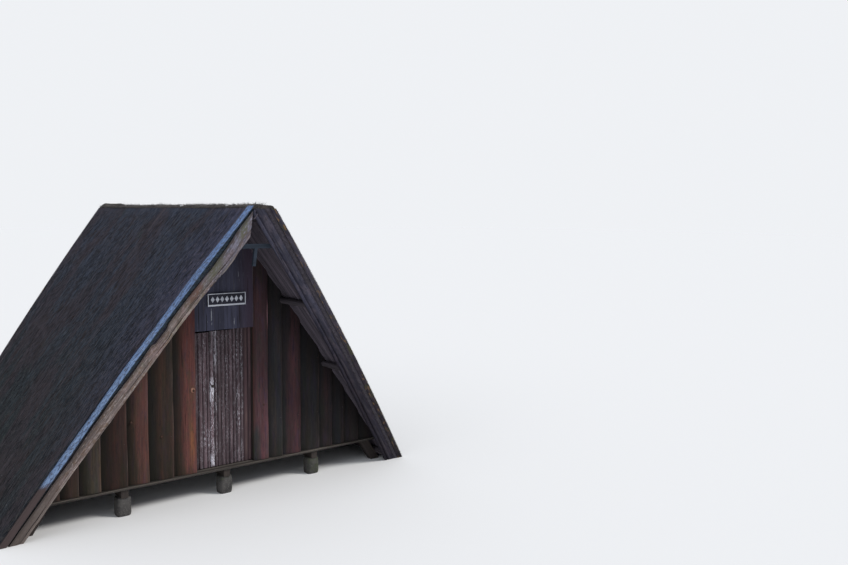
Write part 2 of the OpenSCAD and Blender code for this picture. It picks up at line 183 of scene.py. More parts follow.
def loft(rings, tone=0.5, hue=0.5, edge=0.0, seed=0):
    """Skins rows of closed rings, (boards, rows, points, 3), and closes each end of a board on its middle.
    UV runs along the rows and round the rings in metres. Tone, hue and edge ride on the points."""
    rings = rings[None] if rings.ndim == 3 else rings
    k, n, m = rings.shape[:3]
    centres = rings[:, [0, -1]].mean(2)
    index = np.arange(k * n * m).reshape(k, n, m)
    after = np.roll(index, -1, 2)
    quads = np.stack((index[:, :-1], after[:, :-1], after[:, 1:], index[:, 1:]), -1).reshape(-1, 4)
    ends = k * n * m + np.arange(k * 2).reshape(k, 2, 1) + np.zeros((1, 1, m), int)
    foot = np.stack((ends[:, 0], after[:, 0], index[:, 0]), -1).reshape(-1, 3)
    head = np.stack((ends[:, 1], index[:, -1], after[:, -1]), -1).reshape(-1, 3)
    chance = np.random.default_rng(seed).random((k, 3))
    path = np.linalg.norm(np.diff(rings.mean(2), axis=1), axis=-1)
    along = np.concatenate((np.zeros((k, 1)), np.cumsum(path, 1)), 1) + chance[:, :1] * 9
    girth = np.linalg.norm(np.roll(rings, -1, 2) - rings, axis=-1).mean(1)
    around = np.concatenate((np.zeros((k, 1)), np.cumsum(girth, 1)), 1) + chance[:, 1:2] * 9
    u0, u1 = along[:, :-1, None] + np.zeros((1, 1, m)), along[:, 1:, None] + np.zeros((1, 1, m))
    v0, v1 = around[:, None, :-1] + np.zeros((1, n - 1, 1)), around[:, None, 1:] + np.zeros((1, n - 1, 1))
    uv = np.stack((np.stack((u0, u0, u1, u1), -1), np.stack((v0, v1, v1, v0), -1)), -1).reshape(-1, 4, 2)
    cap_uv = np.zeros((k, m, 3, 2))
    cap_uv[:, :, 0, 1] = cap_uv[:, :, 2, 1] = around[:, :-1]
    cap_uv[:, :, 1, 1] = around[:, 1:]
    cap_uv[:, :, 0, 0] = 0.04
    points = np.concatenate((rings.reshape(-1, 3), centres.reshape(-1, 3)))
    p = points[quads] - points.mean(0)
    volume = sum(np.einsum("ij,ij->", p[:, 0], np.cross(p[:, b], p[:, b + 1])) for b in (1, 2))
    tris, tri_uv = np.concatenate((foot, head)), np.concatenate((cap_uv.reshape(-1, 3, 2),) * 2)
    if volume < 0:
        quads, tris, uv, tri_uv = quads[:, ::-1], tris[:, ::-1], uv[:, ::-1], tri_uv[:, ::-1]

    def spread(value):
        """A number for each point, from one for all, one for each board or one for each ring point."""
        value = np.asarray(value, float)
        full = np.broadcast_to(value[:, None, None] if value.ndim == 1 else value, (k, n, m))
        return np.concatenate((full.reshape(-1), full[:, [0, -1]].mean(2).reshape(-1)))

    board = np.concatenate((np.repeat(chance[:, 2], n * m), np.repeat(chance[:, 2], 2)))
    return {"points": points, "quads": quads, "tris": tris, "uv": uv, "tri_uv": tri_uv,
            "board": board, "tone": spread(tone), "hue": spread(hue), "edge": spread(edge)}


def piece(name, shells, finish, body="hut", replaces=(), sharp=50):
    """Joins closed shells into one mesh, gives it its finish, and lets it ride on its body."""
    shift = np.cumsum([0] + [len(s["points"]) for s in shells])
    quads = np.concatenate([s["quads"] + d for s, d in zip(shells, shift)])
    tris = np.concatenate([s["tris"] + d for s, d in zip(shells, shift)])
    mesh = bpy.data.meshes.new(name)
    mesh.from_pydata(np.concatenate([s["points"] for s in shells]).tolist(), [],
                     quads.tolist() + tris.tolist())
    uv = np.concatenate([s["uv"].reshape(-1, 2) for s in shells]
                        + [s["tri_uv"].reshape(-1, 2) for s in shells])
    mesh.uv_layers.new(name="UVMap").data.foreach_set("uv", uv.astype(np.float32).ravel())
    for key in ("board", "tone", "hue", "edge"):
        mesh.attributes.new(key, "FLOAT", "POINT").data.foreach_set(
            "value", np.concatenate([s[key] for s in shells]).astype(np.float32))
    mesh.shade_smooth()
    mesh.set_sharp_from_angle(angle=np.radians(sharp))
    mesh.materials.append(finish)
    made = bpy.data.objects.new(name, mesh)
    scene.collection.objects.link(made)
    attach(made, body)
    if replaces:
        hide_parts(*replaces)
    return made


def effect(name, inputs, outputs):
    """A shader node group with named inputs (kind, default) and outputs (kind)."""
    group = bpy.data.node_groups.new(name, "ShaderNodeTree")
    for key, (kind, value) in inputs.items():
        socket = group.interface.new_socket(key, in_out="INPUT", socket_type="NodeSocket" + kind)
        if value is not None:
            socket.default_value = value
    for key, kind in outputs.items():
        group.interface.new_socket(key, in_out="OUTPUT", socket_type="NodeSocket" + kind)
    return group, group.nodes.new("NodeGroupInput").outputs, group.nodes.new("NodeGroupOutput").inputs


def speckle(tree, place, stretch, detail=3.0, rough=0.55):
    """Noise whose pace along each direction of a place is given by the stretch."""
    at = add(tree, "ShaderNodeVectorMath", {0: place, 1: stretch}, operation="MULTIPLY").outputs[0]
    return add(tree, "ShaderNodeTexNoise",
               {"Vector": at, "Scale": 1.0, "Detail": detail, "Roughness": rough}).outputs["Fac"]


def group_node(tree, group, **feed):
    """Places a group in a tree and feeds its inputs by name."""
    made = tree.nodes.new("ShaderNodeGroup")
    made.node_tree = group
    for name, value in feed.items():
        if isinstance(value, bpy.types.NodeSocket):
            tree.links.new(value, made.inputs[name])
        else:
            made.inputs[name].default_value = value
    return made.outputs


def emboss(tree, shader, height, strength, distance):
    """Lets a height stand out of the surface by up to a distance."""
    bump = add(tree, "ShaderNodeBump", {"Height": height, "Strength": strength, "Distance": distance})
    tree.links.new(bump.outputs[0], shader.inputs["Normal"])


def own_xyz(tree):
    """Where a point is on its object, as x, y and z."""
    return add(tree, "ShaderNodeSeparateXYZ", {0: add(tree, "ShaderNodeTexCoord").outputs["Object"]}).outputs


def carried(tree, name):
    """A number that rides on the points of a piece: board, tone, hue or edge."""
    return add(tree, "ShaderNodeAttribute", attribute_name=name).outputs["Fac"]


moss_group, given, out = effect("moss_patches", {"Place": ("Vector", None), "Amount": ("Float", 0.4)},
                                {"Mask": "Float"})
broad = speckle(moss_group, given["Place"], (1.6, 1.6, 1.6), 4, 0.6)
close = speckle(moss_group, given["Place"], (30, 30, 30), 2, 0.6)
both = calc(moss_group, "ADD", calc(moss_group, "MULTIPLY", broad, 0.75),
            calc(moss_group, "MULTIPLY", close, 0.25))
start = calc(moss_group, "SUBTRACT", 0.72, calc(moss_group, "MULTIPLY", given["Amount"], 0.3))
grown = span(moss_group, calc(moss_group, "SUBTRACT", both, start), 0, 0.1)
moss_group.links.new(calc(moss_group, "MULTIPLY", grown, 0.8), out["Mask"])


def place_of(tree, kind):
    """Where a point is on its piece, the first number running along the grain: from the UV map, or from
    the object's own coordinates along X, Y, Z or the slope."""
    if kind == "uv":
        uv = add(tree, "ShaderNodeSeparateXYZ", {0: add(tree, "ShaderNodeUVMap", uv_map="UVMap").outputs[0]})
        board = carried(tree, "board")
        parts = uv.outputs[0], uv.outputs[1], calc(tree, "MULTIPLY", board, 9.0)
    else:
        at = own_xyz(tree)
        if kind == "slope":
            wide = calc(tree, "ABSOLUTE", at[0])
            c, s = float(np.cos(PITCH)), float(np.sin(PITCH))
            up = calc(tree, "SUBTRACT", calc(tree, "MULTIPLY", at[2], s), calc(tree, "MULTIPLY", wide, c))
            out = calc(tree, "ADD", calc(tree, "MULTIPLY", at[2], c), calc(tree, "MULTIPLY", wide, s))
            parts = up, out, at[1]
        else:
            parts = [at["XYZ".index(axis)] for axis in {"X": "XYZ", "Y": "YXZ", "Z": "ZXY"}[kind]]
    return add(tree, "ShaderNodeCombineXYZ", dict(enumerate(parts))).outputs[0]


stone_finish, tree, shader = material("rough_stone")
place = place_of(tree, "X")
mottle = speckle(tree, place, (9, 9, 9), 6, 0.65)
pits = speckle(tree, place, (70, 70, 70), 3, 0.6)
# The stones' colours are set darker than their own grey: painted shade under the hut.
colour = paint(tree, span(tree, mottle, 0.35, 0.65), (0.018, 0.017, 0.017, 1), (0.060, 0.056, 0.054, 1))
colour = paint(tree, span(tree, pits, 0.56, 0.66), colour, (0.090, 0.084, 0.080, 1))
moss = group_node(tree, moss_group, Place=place, Amount=0.7)["Mask"]
colour = paint(tree, moss, colour, (0.028, 0.034, 0.015, 1))
tree.links.new(colour, shader.inputs["Base Color"])
tree.links.new(span(tree, mottle, 0.3, 0.7, 0.75, 0.95), shader.inputs["Roughness"])
emboss(tree, shader, calc(tree, "ADD", mottle, calc(tree, "MULTIPLY", pits, 0.3)), 0.8, 0.02)


def stone(lo, hi, seed):
    """A lumpy block: rows climb from foot to head, each a rounded square that noise pushes in."""
    mid, half = (np.array(lo) + hi) / 2, (np.array(hi) - lo) / 2
    rise, turn = np.meshgrid(np.linspace(0, 1, 18), np.linspace(0, 2 * np.pi, 36, endpoint=False),
                             indexing="ij")
    c, s = bulged(turn, 0.45)
    dents = 0.09 * (rugged(turn * 1.1 + seed, rise * 3 + seed, seed) + 1) / 2
    waist = 1 - 0.10 * np.abs(2 * rise - 1) ** 5 - dents
    lift = np.where((rise > 0) & (rise < 1), 0.012 * rugged(turn + seed * 3, rise * 4, seed + 1), 0)
    return np.stack((mid[0] + half[0] * c * waist, mid[1] + half[1] * s * waist,
                     lo[2] + (hi[2] - lo[2]) * rise + lift), -1)


for row, name in enumerate(("footings_front", "footings_middle", "footings_rear")):
    lo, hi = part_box(name)
    side = hi[1] - lo[1]
    starts = (lo[0], (lo[0] + hi[0] - side) / 2, hi[0] - side)
    shells = [loft(stone((x, lo[1], 0), (x + side, hi[1], hi[2]), 3 * row + n))
              for n, x in enumerate(starts)]
    piece(name.replace("footings", "stones"), shells, stone_finish, replaces=[name],
          sharp=70)

# Roof form
# Both slopes bulge a little between foot and ridge, and both verges lean out over the
# gables. Everything on the roof is placed by height, depth below the surface and verge.
PITCH = np.radians(55.0)
RIDGE_H, RIDGE_HALF, BOW = 3.48, 0.1325, 0.045
EAVE_X = RIDGE_HALF + RIDGE_H / np.tan(PITCH)
FRONT_Y, REAR_Y = -2.53, 2.53
FRONT_LEAN, REAR_LEAN = np.tan(np.radians(13.5)), np.tan(np.radians(10.0))
# Thickness of turf and lathing, height of the ridge sod, and how far inside the verge turf and poles end.
TURF, DECK, CAP, VERGE = 0.130, 0.020, 0.040, 0.030


def slope_point(s, t):
    """x and z of the left slope: a straight run from foot to ridge as s goes from 0 to 1, plus a
    parabola's bulge along the normal, less the depth t."""
    out = 4 * BOW * s * (1 - s) - t
    return -EAVE_X + (EAVE_X - RIDGE_HALF) * s - np.sin(PITCH) * out, RIDGE_H * s + np.cos(PITCH) * out


def run_at_height(z, t):
    """The s at which depth t stands at height z, solved again and again with the last try's bulge."""
    s = np.zeros(np.broadcast(z, t).shape)
    for _ in range(8):
        s = (z - np.cos(PITCH) * (4 * BOW * s * (1 - s) - t)) / RIDGE_H
    return s


def run_at_width(x, t):
    """The s at which depth t is x away from the middle plane."""
    s = np.zeros(np.broadcast(x, t).shape)
    for _ in range(8):
        s = (EAVE_X - x + np.sin(PITCH) * (4 * BOW * s * (1 - s) - t)) / (EAVE_X - RIDGE_HALF)
    return s


def verge_y(z, end, depth):
    """The leaning plane of the front (end -1) or rear (end 1) verge at height z, set in by depth."""
    if end < 0:
        return FRONT_Y + FRONT_LEAN * (RIDGE_H - z) + depth
    return REAR_Y - REAR_LEAN * (RIDGE_H - z) - depth


def between_verges(z, share):
    """y a share of the way from the front verge to the rear one at height z, where turf and poles end."""
    return verge_y(z, -1, VERGE) + share * (verge_y(z, 1, VERGE) - verge_y(z, -1, VERGE))


def on_verge(side, end, x, z, depth, lowest=-1.0):
    """A point of the left slope, taken to its side and a verge's plane and kept above the lowest height."""
    return np.stack((side * -x, verge_y(z, end, depth), np.maximum(z, lowest)), -1)


def on_slope(f, t, top=RIDGE_H - CAP, middle=0.001):
    """x and z a share f of the way from the floor to the top, or to a place beside the middle plane if the
    slope gets there first."""
    foot = run_at_height(0.0, t)
    head = np.minimum(run_at_height(top, t), run_at_width(middle, t))
    return slope_point(foot + f * (head - foot), t)


# Poles and joists
# Peeled poles for purlins and ridge, hewn rafters and joists, and the rails that the
# gable slabs are nailed to: all bare wood gone grey-brown, with fine drying cracks.
grain_group, given, out = effect(
    "timber_grain",
    {"Place": ("Vector", None), "Pale": ("Color", (0.3, 0.25, 0.2, 1)),
     "Dark": ("Color", (0.08, 0.06, 0.05, 1)), "Lines": ("Float", 70.0), "Cracks": ("Float", 0.7)},
    {"Color": "Color", "Roughness": "Float", "Height": "Float"})
fine = add(grain_group, "ShaderNodeCombineXYZ", {0: 1.8, 1: given["Lines"], 2: 8.0}).outputs[0]
wide = add(grain_group, "ShaderNodeCombineXYZ",
           {0: 0.6, 1: calc(grain_group, "MULTIPLY", given["Lines"], 0.22), 2: 5.0}).outputs[0]
split = add(grain_group, "ShaderNodeCombineXYZ",
            {0: 1.3, 1: calc(grain_group, "MULTIPLY", given["Lines"], 0.7), 2: 3.0}).outputs[0]
streak = speckle(grain_group, given["Place"], fine, 5, 0.6)
band = speckle(grain_group, given["Place"], wide, 3, 0.5)
cloud = speckle(grain_group, given["Place"], (1.1, 3.2, 3.2), 4, 0.6)
total = calc(grain_group, "ADD", calc(grain_group, "MULTIPLY", streak, 0.42),
             calc(grain_group, "ADD", calc(grain_group, "MULTIPLY", band, 0.30),
                  calc(grain_group, "MULTIPLY", cloud, 0.28)))
shade = span(grain_group, total, 0.36, 0.64)
crack = span(grain_group, speckle(grain_group, given["Place"], split, 2, 0.5), 0.66, 0.70)
crack = calc(grain_group, "MULTIPLY", crack, given["Cracks"])
colour = paint(grain_group, crack, paint(grain_group, shade, given["Dark"], given["Pale"]),
               (0.012, 0.010, 0.009, 1))
grain_group.links.new(colour, out["Color"])
grain_group.links.new(calc(grain_group, "ADD", 0.72, calc(grain_group, "MULTIPLY", shade, 0.2)),
                      out["Roughness"])
grain_group.links.new(calc(grain_group, "SUBTRACT", calc(grain_group, "MULTIPLY", shade, 0.35), crack),
                      out["Height"])


def stain(tree, colour, mask, share, over):
    """Lays another colour over a colour where the mask is 1, as strongly as the share."""
    return paint(tree, calc(tree, "MULTIPLY", mask, share), colour, over)


def tinted(tree, colour, by):
    """One colour times another."""
    return paint(tree, 1.0, colour, by, "MULTIPLY")


def timber(name, pale, dark, lines=70.0, cracks=0.7, kind="uv", depth=0.004, layers=None, gloss=0.3,
           rub_and_highlight_colour=(0.16, 0.14, 0.125, 1)):
    """A bare or coloured timber finish. On made pieces tone lightens a board and edge shows where it is
    rubbed, and on some pieces it also paints a highlight along an arris, crest or rim. Layers, if given,
    adds paint, drips or moss to the colour."""
    made, tree, shader = material(name)
    place = place_of(tree, kind)
    grain = group_node(tree, grain_group, Place=place, Pale=pale, Dark=dark, Lines=lines, Cracks=cracks)
    colour, height = grain["Color"], grain["Height"]
    if layers:
        colour = layers(tree, place, colour)
    if kind == "uv":
        tone = carried(tree, "tone")
        edge = carried(tree, "edge")
        level = calc(tree, "ADD", 0.2, calc(tree, "MULTIPLY", tone, 1.6))
        grey = add(tree, "ShaderNodeCombineColor", {0: level, 1: level, 2: level}).outputs[0]
        colour = tinted(tree, colour, grey)
        # The edge mark paints worn wood, and on some pieces a highlight along an edge.
        rub_and_highlight = calc(tree, "MULTIPLY", edge, span(tree, speckle(tree, place, (4, 18, 5), 3), 0.40, 0.65))
        colour = stain(tree, colour, rub_and_highlight, 0.5, rub_and_highlight_colour)
    tree.links.new(colour, shader.inputs["Base Color"])
    tree.links.new(grain["Roughness"], shader.inputs["Roughness"])
    shader.inputs["Specular IOR Level"].default_value = gloss
    emboss(tree, shader, height, 0.9, depth)
    return made


POLE = ((0.046, 0.036, 0.031, 1), (0.016, 0.012, 0.011, 1))


def dress(finish, *names):
    """Puts a finish on nodes that keep their own shape."""
    for name in names:
        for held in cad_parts[name].material_slots:
            held.material = finish


dress(timber("hewn_rafter", *POLE, kind="slope"), "rafters_front", "rafters_second", "rafters_third",
      "rafters_rear")
long_pole = timber("long_pole", *POLE, kind="Y")
dress(long_pole, "floor_joists")
cross_rail = timber("cross_rail", *POLE, kind="X")
dress(cross_rail, "front_rails", "rear_rails", "door_head")
dress(timber("upright_post", *POLE, kind="Z"), "door_post_left", "door_post_right")
# The apex ties are coloured a dark blue-grey, darker than their wood: painted shade under the apex.
dress(timber("tie_wood", (0.036, 0.047, 0.066, 1), (0.017, 0.022, 0.031, 1), kind="X", gloss=0.08),
      "apex_tie_front", "apex_tie_rear")

pole_finish = timber("peeled_pole", (0.092, 0.080, 0.092, 1), (0.034, 0.029, 0.034, 1), lines=60,
                     cracks=0.6, gloss=0.15)


def round_pole(node, seed, flats):
    """A peeled pole from verge to verge: a tube whose radius wanders by a twentieth and has three flats,
    as deep as given, that turn on their way. Its ends are cut to the lean of the verges."""
    lo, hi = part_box(node)
    f, turn = np.meshgrid(np.linspace(0, 1, 90), np.linspace(0, 2 * np.pi, 24, endpoint=False),
                          indexing="ij")
    radius = (hi[0] - lo[0]) / 2 * (0.95 + 0.05 * rugged(turn, f * 14, seed)
                                    - flats * np.cos(3 * turn + 5 * f))
    x = (lo[0] + hi[0]) / 2 + radius * np.cos(turn)
    z = (lo[2] + hi[2]) / 2 + radius * np.sin(turn)
    return np.stack((x, between_verges(z, f), z), -1)


for node in [f"purlin_{row}_{side}" for row in ("low", "mid", "high") for side in ("left", "right")]:
    seed = sum(map(ord, node)) % 23
    shell = loft(round_pole(node, seed, 0.03), tone=0.4, seed=seed)
    piece(node.replace("purlin", "pole"), [shell], pole_finish, replaces=[node])
piece("pole_ridge", [loft(round_pole("ridge_pole", 3, 0.0), seed=5)], pole_finish,
      replaces=["ridge_pole"])

# Floor boards and sills
# Sawn planks across the joists, butted with narrow gaps, and under each gable one long
# plank that the slabs stand on, thin, grey and slightly wavy.
plank_finish = timber("grey_plank", (0.115, 0.100, 0.088, 1), (0.038, 0.031, 0.027, 1), lines=55)


def beam(axis, lo, hi, rows=40, points=20, power=0.18, wave=0.002, seed=0):
    """A sawn member: its section is a square with slightly rounded arrises, carried along one axis while
    noise moves the faces a little."""
    lo, hi = np.array(lo, float), np.array(hi, float)
    f, turn = np.meshgrid(np.linspace(0, 1, rows), (np.arange(points) + 0.5) * 2 * np.pi / points,
                          indexing="ij")
    c, s = bulged(turn, power)
    a, b = [n for n in range(3) if n != axis]
    at = np.zeros(f.shape + (3,))
    at[..., axis] = lo[axis] + f * (hi[axis] - lo[axis])
    length = hi[axis] - lo[axis]
    in_a = wave * (1 + rugged(f * length * 3, turn, seed))
    in_b = wave * (1 + rugged(f * length * 3 + 9, turn, seed + 1))
    at[..., a] = (lo[a] + hi[a]) / 2 + c * ((hi[a] - lo[a]) / 2 - in_a)
    at[..., b] = (lo[b] + hi[b]) / 2 + s * ((hi[b] - lo[b]) / 2 - in_b)
    return at


BOARDS, JOINT_OUT, GAP = 17, 1.21954, 0.002
lo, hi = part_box("floor_boards")
cuts = np.linspace(lo[1], hi[1], BOARDS + 1)
chance = np.random.default_rng(21).random((BOARDS, 2))
shells = []
for n in range(BOARDS):
    joint = (n % 3 - 1) * JOINT_OUT
    for part, (x0, x1) in enumerate(((lo[0], joint - GAP), (joint + GAP, hi[0]))):
        if x1 - x0 > 0.05:
            rings = beam(0, (x0, cuts[n] + GAP, lo[2]), (x1, cuts[n + 1] - GAP, hi[2]), seed=n * 2 + part)
            shells.append(loft(rings, tone=0.3 + 0.5 * chance[n, part], seed=40 + n * 2 + part))
piece("floor_planks", shells, plank_finish, replaces=["floor_boards"])
for name, out in (("sill_front", -1), ("sill_rear", 1)):
    lo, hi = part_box(name)
    turn = (np.arange(20) + 0.5) * 2 * np.pi / 20
    arris = (np.cos(turn) * out > 0.3) & (np.sin(turn) > 0.3)
    rings = beam(0, lo, hi, rows=160, wave=0.003, seed=len(name))
    shell = loft(rings, tone=(0.16 + 0.35 * arris)[None, None], edge=(1.6 * arris)[None, None],
                 seed=len(name))
    piece(name.replace("sill", "sill_plank"), [shell], plank_finish, replaces=[name])

# Lathing
# Thin peeled poles laid side by side down each slope, over the purlins and under the
# turf. Those near a verge start higher up, where the leaning verge cuts them off.
lath_finish = timber("lath_pole", (0.120, 0.104, 0.128, 1), (0.044, 0.037, 0.047, 1), lines=80, cracks=0.5,
                     gloss=0.15)
LATH = 0.046
for side, name in ((-1, "lathing_left"), (1, "lathing_right")):
    ys = np.arange(FRONT_Y + VERGE + LATH / 2, REAR_Y - VERGE - LATH / 2 + 1e-6, LATH)
    chance = np.random.default_rng(31 + side).random((len(ys), 4))
    floor_cut = np.maximum(RIDGE_H - (ys - LATH / 2 - FRONT_Y - VERGE) / FRONT_LEAN,
                           RIDGE_H - (REAR_Y - VERGE - ys - LATH / 2) / REAR_LEAN)
    start = np.clip(floor_cut, 0.0, RIDGE_H - CAP - 0.12)[:, None, None]
    f, turn = np.meshgrid(np.linspace(0, 1, 12), np.linspace(0, 2 * np.pi, 10, endpoint=False),
                          indexing="ij")
    girth = (0.40 + 0.10 * chance[:, 0])[:, None, None] * LATH * (1 - 0.15 * f)
    t = TURF + DECK / 2 + DECK / 2 * np.sin(turn)[None] * (0.8 + 0.2 * chance[:, 1, None, None])
    foot, head = run_at_height(start, t), run_at_height(RIDGE_H - CAP, t)
    head = np.minimum(head, run_at_width(0.001, t))
    x, z = slope_point(foot + f * (head - foot), t)
    y = ys[:, None, None] + girth * np.cos(turn) * 1.2 + 0.004 * (chance[:, 2, None, None] - 0.5) * f
    poles = loft(np.stack((side * -x, y, z), -1), tone=0.35 + 0.3 * chance[:, 3], seed=31)
    piece(name.replace("lathing", "laths"), [poles], lath_finish, replaces=[name])

# Turf
# Thick sods on the lathing, so old that only dead grass shows: a dark mat, blue-grey with
# brown in it, combed down the slope by rain, with a little moss and paler stalks on it.
SLOPE_RUN, STALKS = 4.28, 13000


def turf_swell(y, run):
    """How far the turf stands out: broad swells, narrow ribs down the slope, and small lumps."""
    return (0.011 * rugged(y * 1.3, run * 0.9, 2) + 0.006 * rugged(y * 16, run * 0.8, 5, 3)
            + 0.004 * rugged(y * 9, run * 7, 8))


turf_finish, tree, shader = material("old_turf")
place = place_of(tree, "uv")
combed = speckle(tree, place, (2.4, 60, 3), 6, 0.7)
ribs = speckle(tree, place, (0.5, 9, 3), 4, 0.6)
blotch = speckle(tree, place, (0.9, 1.6, 1.2), 5, 0.6)
short = speckle(tree, place, (18, 56, 6), 5, 0.75)
colour = paint(tree, span(tree, combed, 0.36, 0.66), (0.010, 0.0105, 0.013, 1), (0.038, 0.038, 0.044, 1))
colour = stain(tree, colour, span(tree, short, 0.49, 0.62), 0.60, (0.064, 0.052, 0.050, 1))
colour = stain(tree, colour, span(tree, short, 0.47, 0.36), 0.70, (0.007, 0.007, 0.010, 1))
long_streak = span(tree, speckle(tree, place, (0.22, 6, 3), 3, 0.55), 0.58, 0.72)
colour = stain(tree, colour, span(tree, ribs, 0.45, 0.75), 0.45, (0.040, 0.041, 0.050, 1))
colour = stain(tree, colour, span(tree, ribs, 0.44, 0.30), 0.50, (0.012, 0.013, 0.016, 1))
at = own_xyz(tree)
# Towards the ridge the mat is tinted bluer and paler: a painted sky sheen over the turf's own colour.
by_height = paint(tree, span(tree, at[2], 0.2, 3.0), (1.10, 1.36, 1.22, 1), (1.50, 1.76, 2.12, 1))
colour = tinted(tree, colour, by_height)
from_verge = calc(tree, "ADD", at[1], calc(tree, "MULTIPLY", at[2], FRONT_LEAN.item()))
damp_edge = span(tree, from_verge, FRONT_Y + FRONT_LEAN.item() * RIDGE_H + 1.1,
                 FRONT_Y + FRONT_LEAN.item() * RIDGE_H)
colour = paint(tree, damp_edge, colour, tinted(tree, colour, (1.32, 1.16, 1.28, 1)))
brown = calc(tree, "MULTIPLY", span(tree, blotch, 0.47, 0.60),
             calc(tree, "ADD", 0.35, span(tree, short, 0.42, 0.56, 0.0, 0.4)))
colour = paint(tree, brown, colour, (0.053, 0.040, 0.046, 1))
colour = stain(tree, colour, long_streak, 0.5, (0.084, 0.070, 0.080, 1))
moss = group_node(tree, moss_group, Place=place, Amount=0.45)["Mask"]
colour = stain(tree, colour, moss, 0.45, (0.028, 0.040, 0.026, 1))
tree.links.new(colour, shader.inputs["Base Color"])
dull(shader, 0.95, 0.05)
height = calc(tree, "ADD", calc(tree, "ADD", combed, short), calc(tree, "MULTIPLY", ribs, 0.5))
emboss(tree, shader, height, 1.0, 0.012)


def dead_grass(name, dark, light, tinge):
    """A dry stalk finish: tone runs from the dark to the light colour, hue brings in the tinge."""
    made, tree, shader = material(name)
    tone = carried(tree, "tone")
    hue = carried(tree, "hue")
    colour = stain(tree, paint(tree, tone, dark, light), span(tree, hue, 0.5, 1.0), 0.8, tinge)
    tree.links.new(colour, shader.inputs["Base Color"])
    tree.links.new(calc(tree, "ADD", 0.75, calc(tree, "MULTIPLY", tone, 0.15)), shader.inputs["Roughness"])
    shader.inputs["Specular IOR Level"].default_value = 0.2
    return made


straw_finish = dead_grass("dead_grass", (0.013, 0.013, 0.015, 1), (0.052, 0.051, 0.058, 1),
                          (0.046, 0.033, 0.032, 1))


def stalks(base, tip, width, tone, hue):
    """Dry stalks, each a three-sided spike: a small triangle round its base, across its direction, and
    one point at its tip."""
    k = len(base)
    way = tip - base
    way /= np.linalg.norm(way, axis=1)[:, None]
    side = np.cross(way, np.array((0.31, 0.17, 0.93)))
    side /= np.linalg.norm(side, axis=1)[:, None]
    back = np.cross(way, side)
    turn = np.array((0, 2 * np.pi / 3, 4 * np.pi / 3))
    round_base = np.cos(turn)[None, :, None] * side[:, None] + np.sin(turn)[None, :, None] * back[:, None]
    corners = base[:, None] + width[:, None, None] * round_base
    points = np.concatenate((corners, tip[:, None]), 1).reshape(-1, 3)
    index = np.arange(k)[:, None] * 4
    tris = np.concatenate([index + np.array(c) for c in ((0, 1, 3), (1, 2, 3), (2, 0, 3), (0, 2, 1))])
    plain = np.zeros(k * 4)
    return {"points": points, "quads": np.zeros((0, 4), int), "tris": tris, "uv": np.zeros((0, 4, 2)),
            "tri_uv": np.zeros((len(tris), 3, 2)), "board": plain, "tone": np.repeat(tone, 4),
            "hue": np.repeat(hue, 4), "edge": plain}


for side, name in ((-1, "turf_left"), (1, "turf_right")):
    across, under, rows = 230, 6, 150
    u = np.concatenate((np.linspace(0, 1, across), np.linspace(1, 0, under)))
    inner = np.concatenate((np.zeros(across), np.ones(under)))
    f = np.linspace(0, 1, rows)[:, None]
    t = TURF * inner[None] + 0 * f
    x, z = on_slope(f, t)
    y = between_verges(z, u)
    from_edge = np.clip(np.minimum(u, 1 - u) * 40, 0.15, 1)
    swell = turf_swell(y + 7 * side, f * SLOPE_RUN) * (1 - inner) * from_edge
    x, z = on_slope(f, t - swell)
    y = between_verges(z, u)
    mat = loft(np.stack((side * -x, y, z), -1), seed=8 + side)
    piece(name.replace("turf", "turf_mat"), [mat], turf_finish, replaces=[name], sharp=75)

    chance = np.random.default_rng(60 + side).random((STALKS, 7))
    f0 = 0.03 + 0.965 * chance[:, 0]
    x0, z0 = on_slope(f0, 0.0)
    y0 = between_verges(z0, chance[:, 1])
    long = 0.05 + 0.20 * chance[:, 2] ** 2
    f1 = np.maximum(f0 - long / SLOPE_RUN, 0.0)
    y1 = y0 + (chance[:, 3] - 0.5) * 0.35 * long
    y1 = np.clip(y1, verge_y(z0, -1, VERGE), verge_y(z0, 1, VERGE))
    xa, za = on_slope(f0, -turf_swell(y0 + 7 * side, f0 * SLOPE_RUN) + 0.004)
    xb, zb = on_slope(f1, -turf_swell(y1 + 7 * side, f1 * SLOPE_RUN) - 0.003 - 0.013 * chance[:, 4] ** 2)
    tone = chance[:, 6] ** 1.6 * (0.55 + 0.75 * ripple(y0 * 7, f0 * 1.1, 12) ** 2)
    hue = chance[:, 3] ** 0.5 * (rugged(y0 * 0.8, f0 * 3, 4) > 0.05)
    grass = stalks(np.stack((side * -xa, y0, za), -1), np.stack((side * -xb, y1, zb), -1),
                   0.0016 + 0.0022 * chance[:, 5], tone, hue)
    piece(name.replace("turf", "grass"), [grass], straw_finish)

# Ridge sod
# A strip of sods folded over the ridge, lumpier than the slopes, with short grass and a
# few pebbles on it. It covers the upper ends of battens, boards and turf.
SOD_HALF, TUFTS = 0.155, 3200
sod_finish, tree, shader = material("ridge_sod")
place = place_of(tree, "X")
clod = speckle(tree, place, (22, 22, 22), 5, 0.65)
fleck = speckle(tree, place, (90, 90, 90), 2, 0.5)
colour = paint(tree, span(tree, clod, 0.36, 0.66), (0.013, 0.011, 0.011, 1), (0.046, 0.036, 0.032, 1))
colour = stain(tree, colour, span(tree, fleck, 0.6, 0.7), 0.4, (0.075, 0.068, 0.062, 1))
moss = group_node(tree, moss_group, Place=place, Amount=0.4)["Mask"]
colour = stain(tree, colour, moss, 0.5, (0.028, 0.034, 0.018, 1))
tree.links.new(colour, shader.inputs["Base Color"])
shader.inputs["Roughness"].default_value = 0.95
emboss(tree, shader, clod, 0.9, 0.015)
f, turn = np.meshgrid(np.linspace(0, 1, 240), (np.arange(28) + 0.5) * 2 * np.pi / 28, indexing="ij")
c, s = bulged(turn, 0.5)
lump = rugged(f * 26, np.cos(turn) * 1.5 + 3, 6)
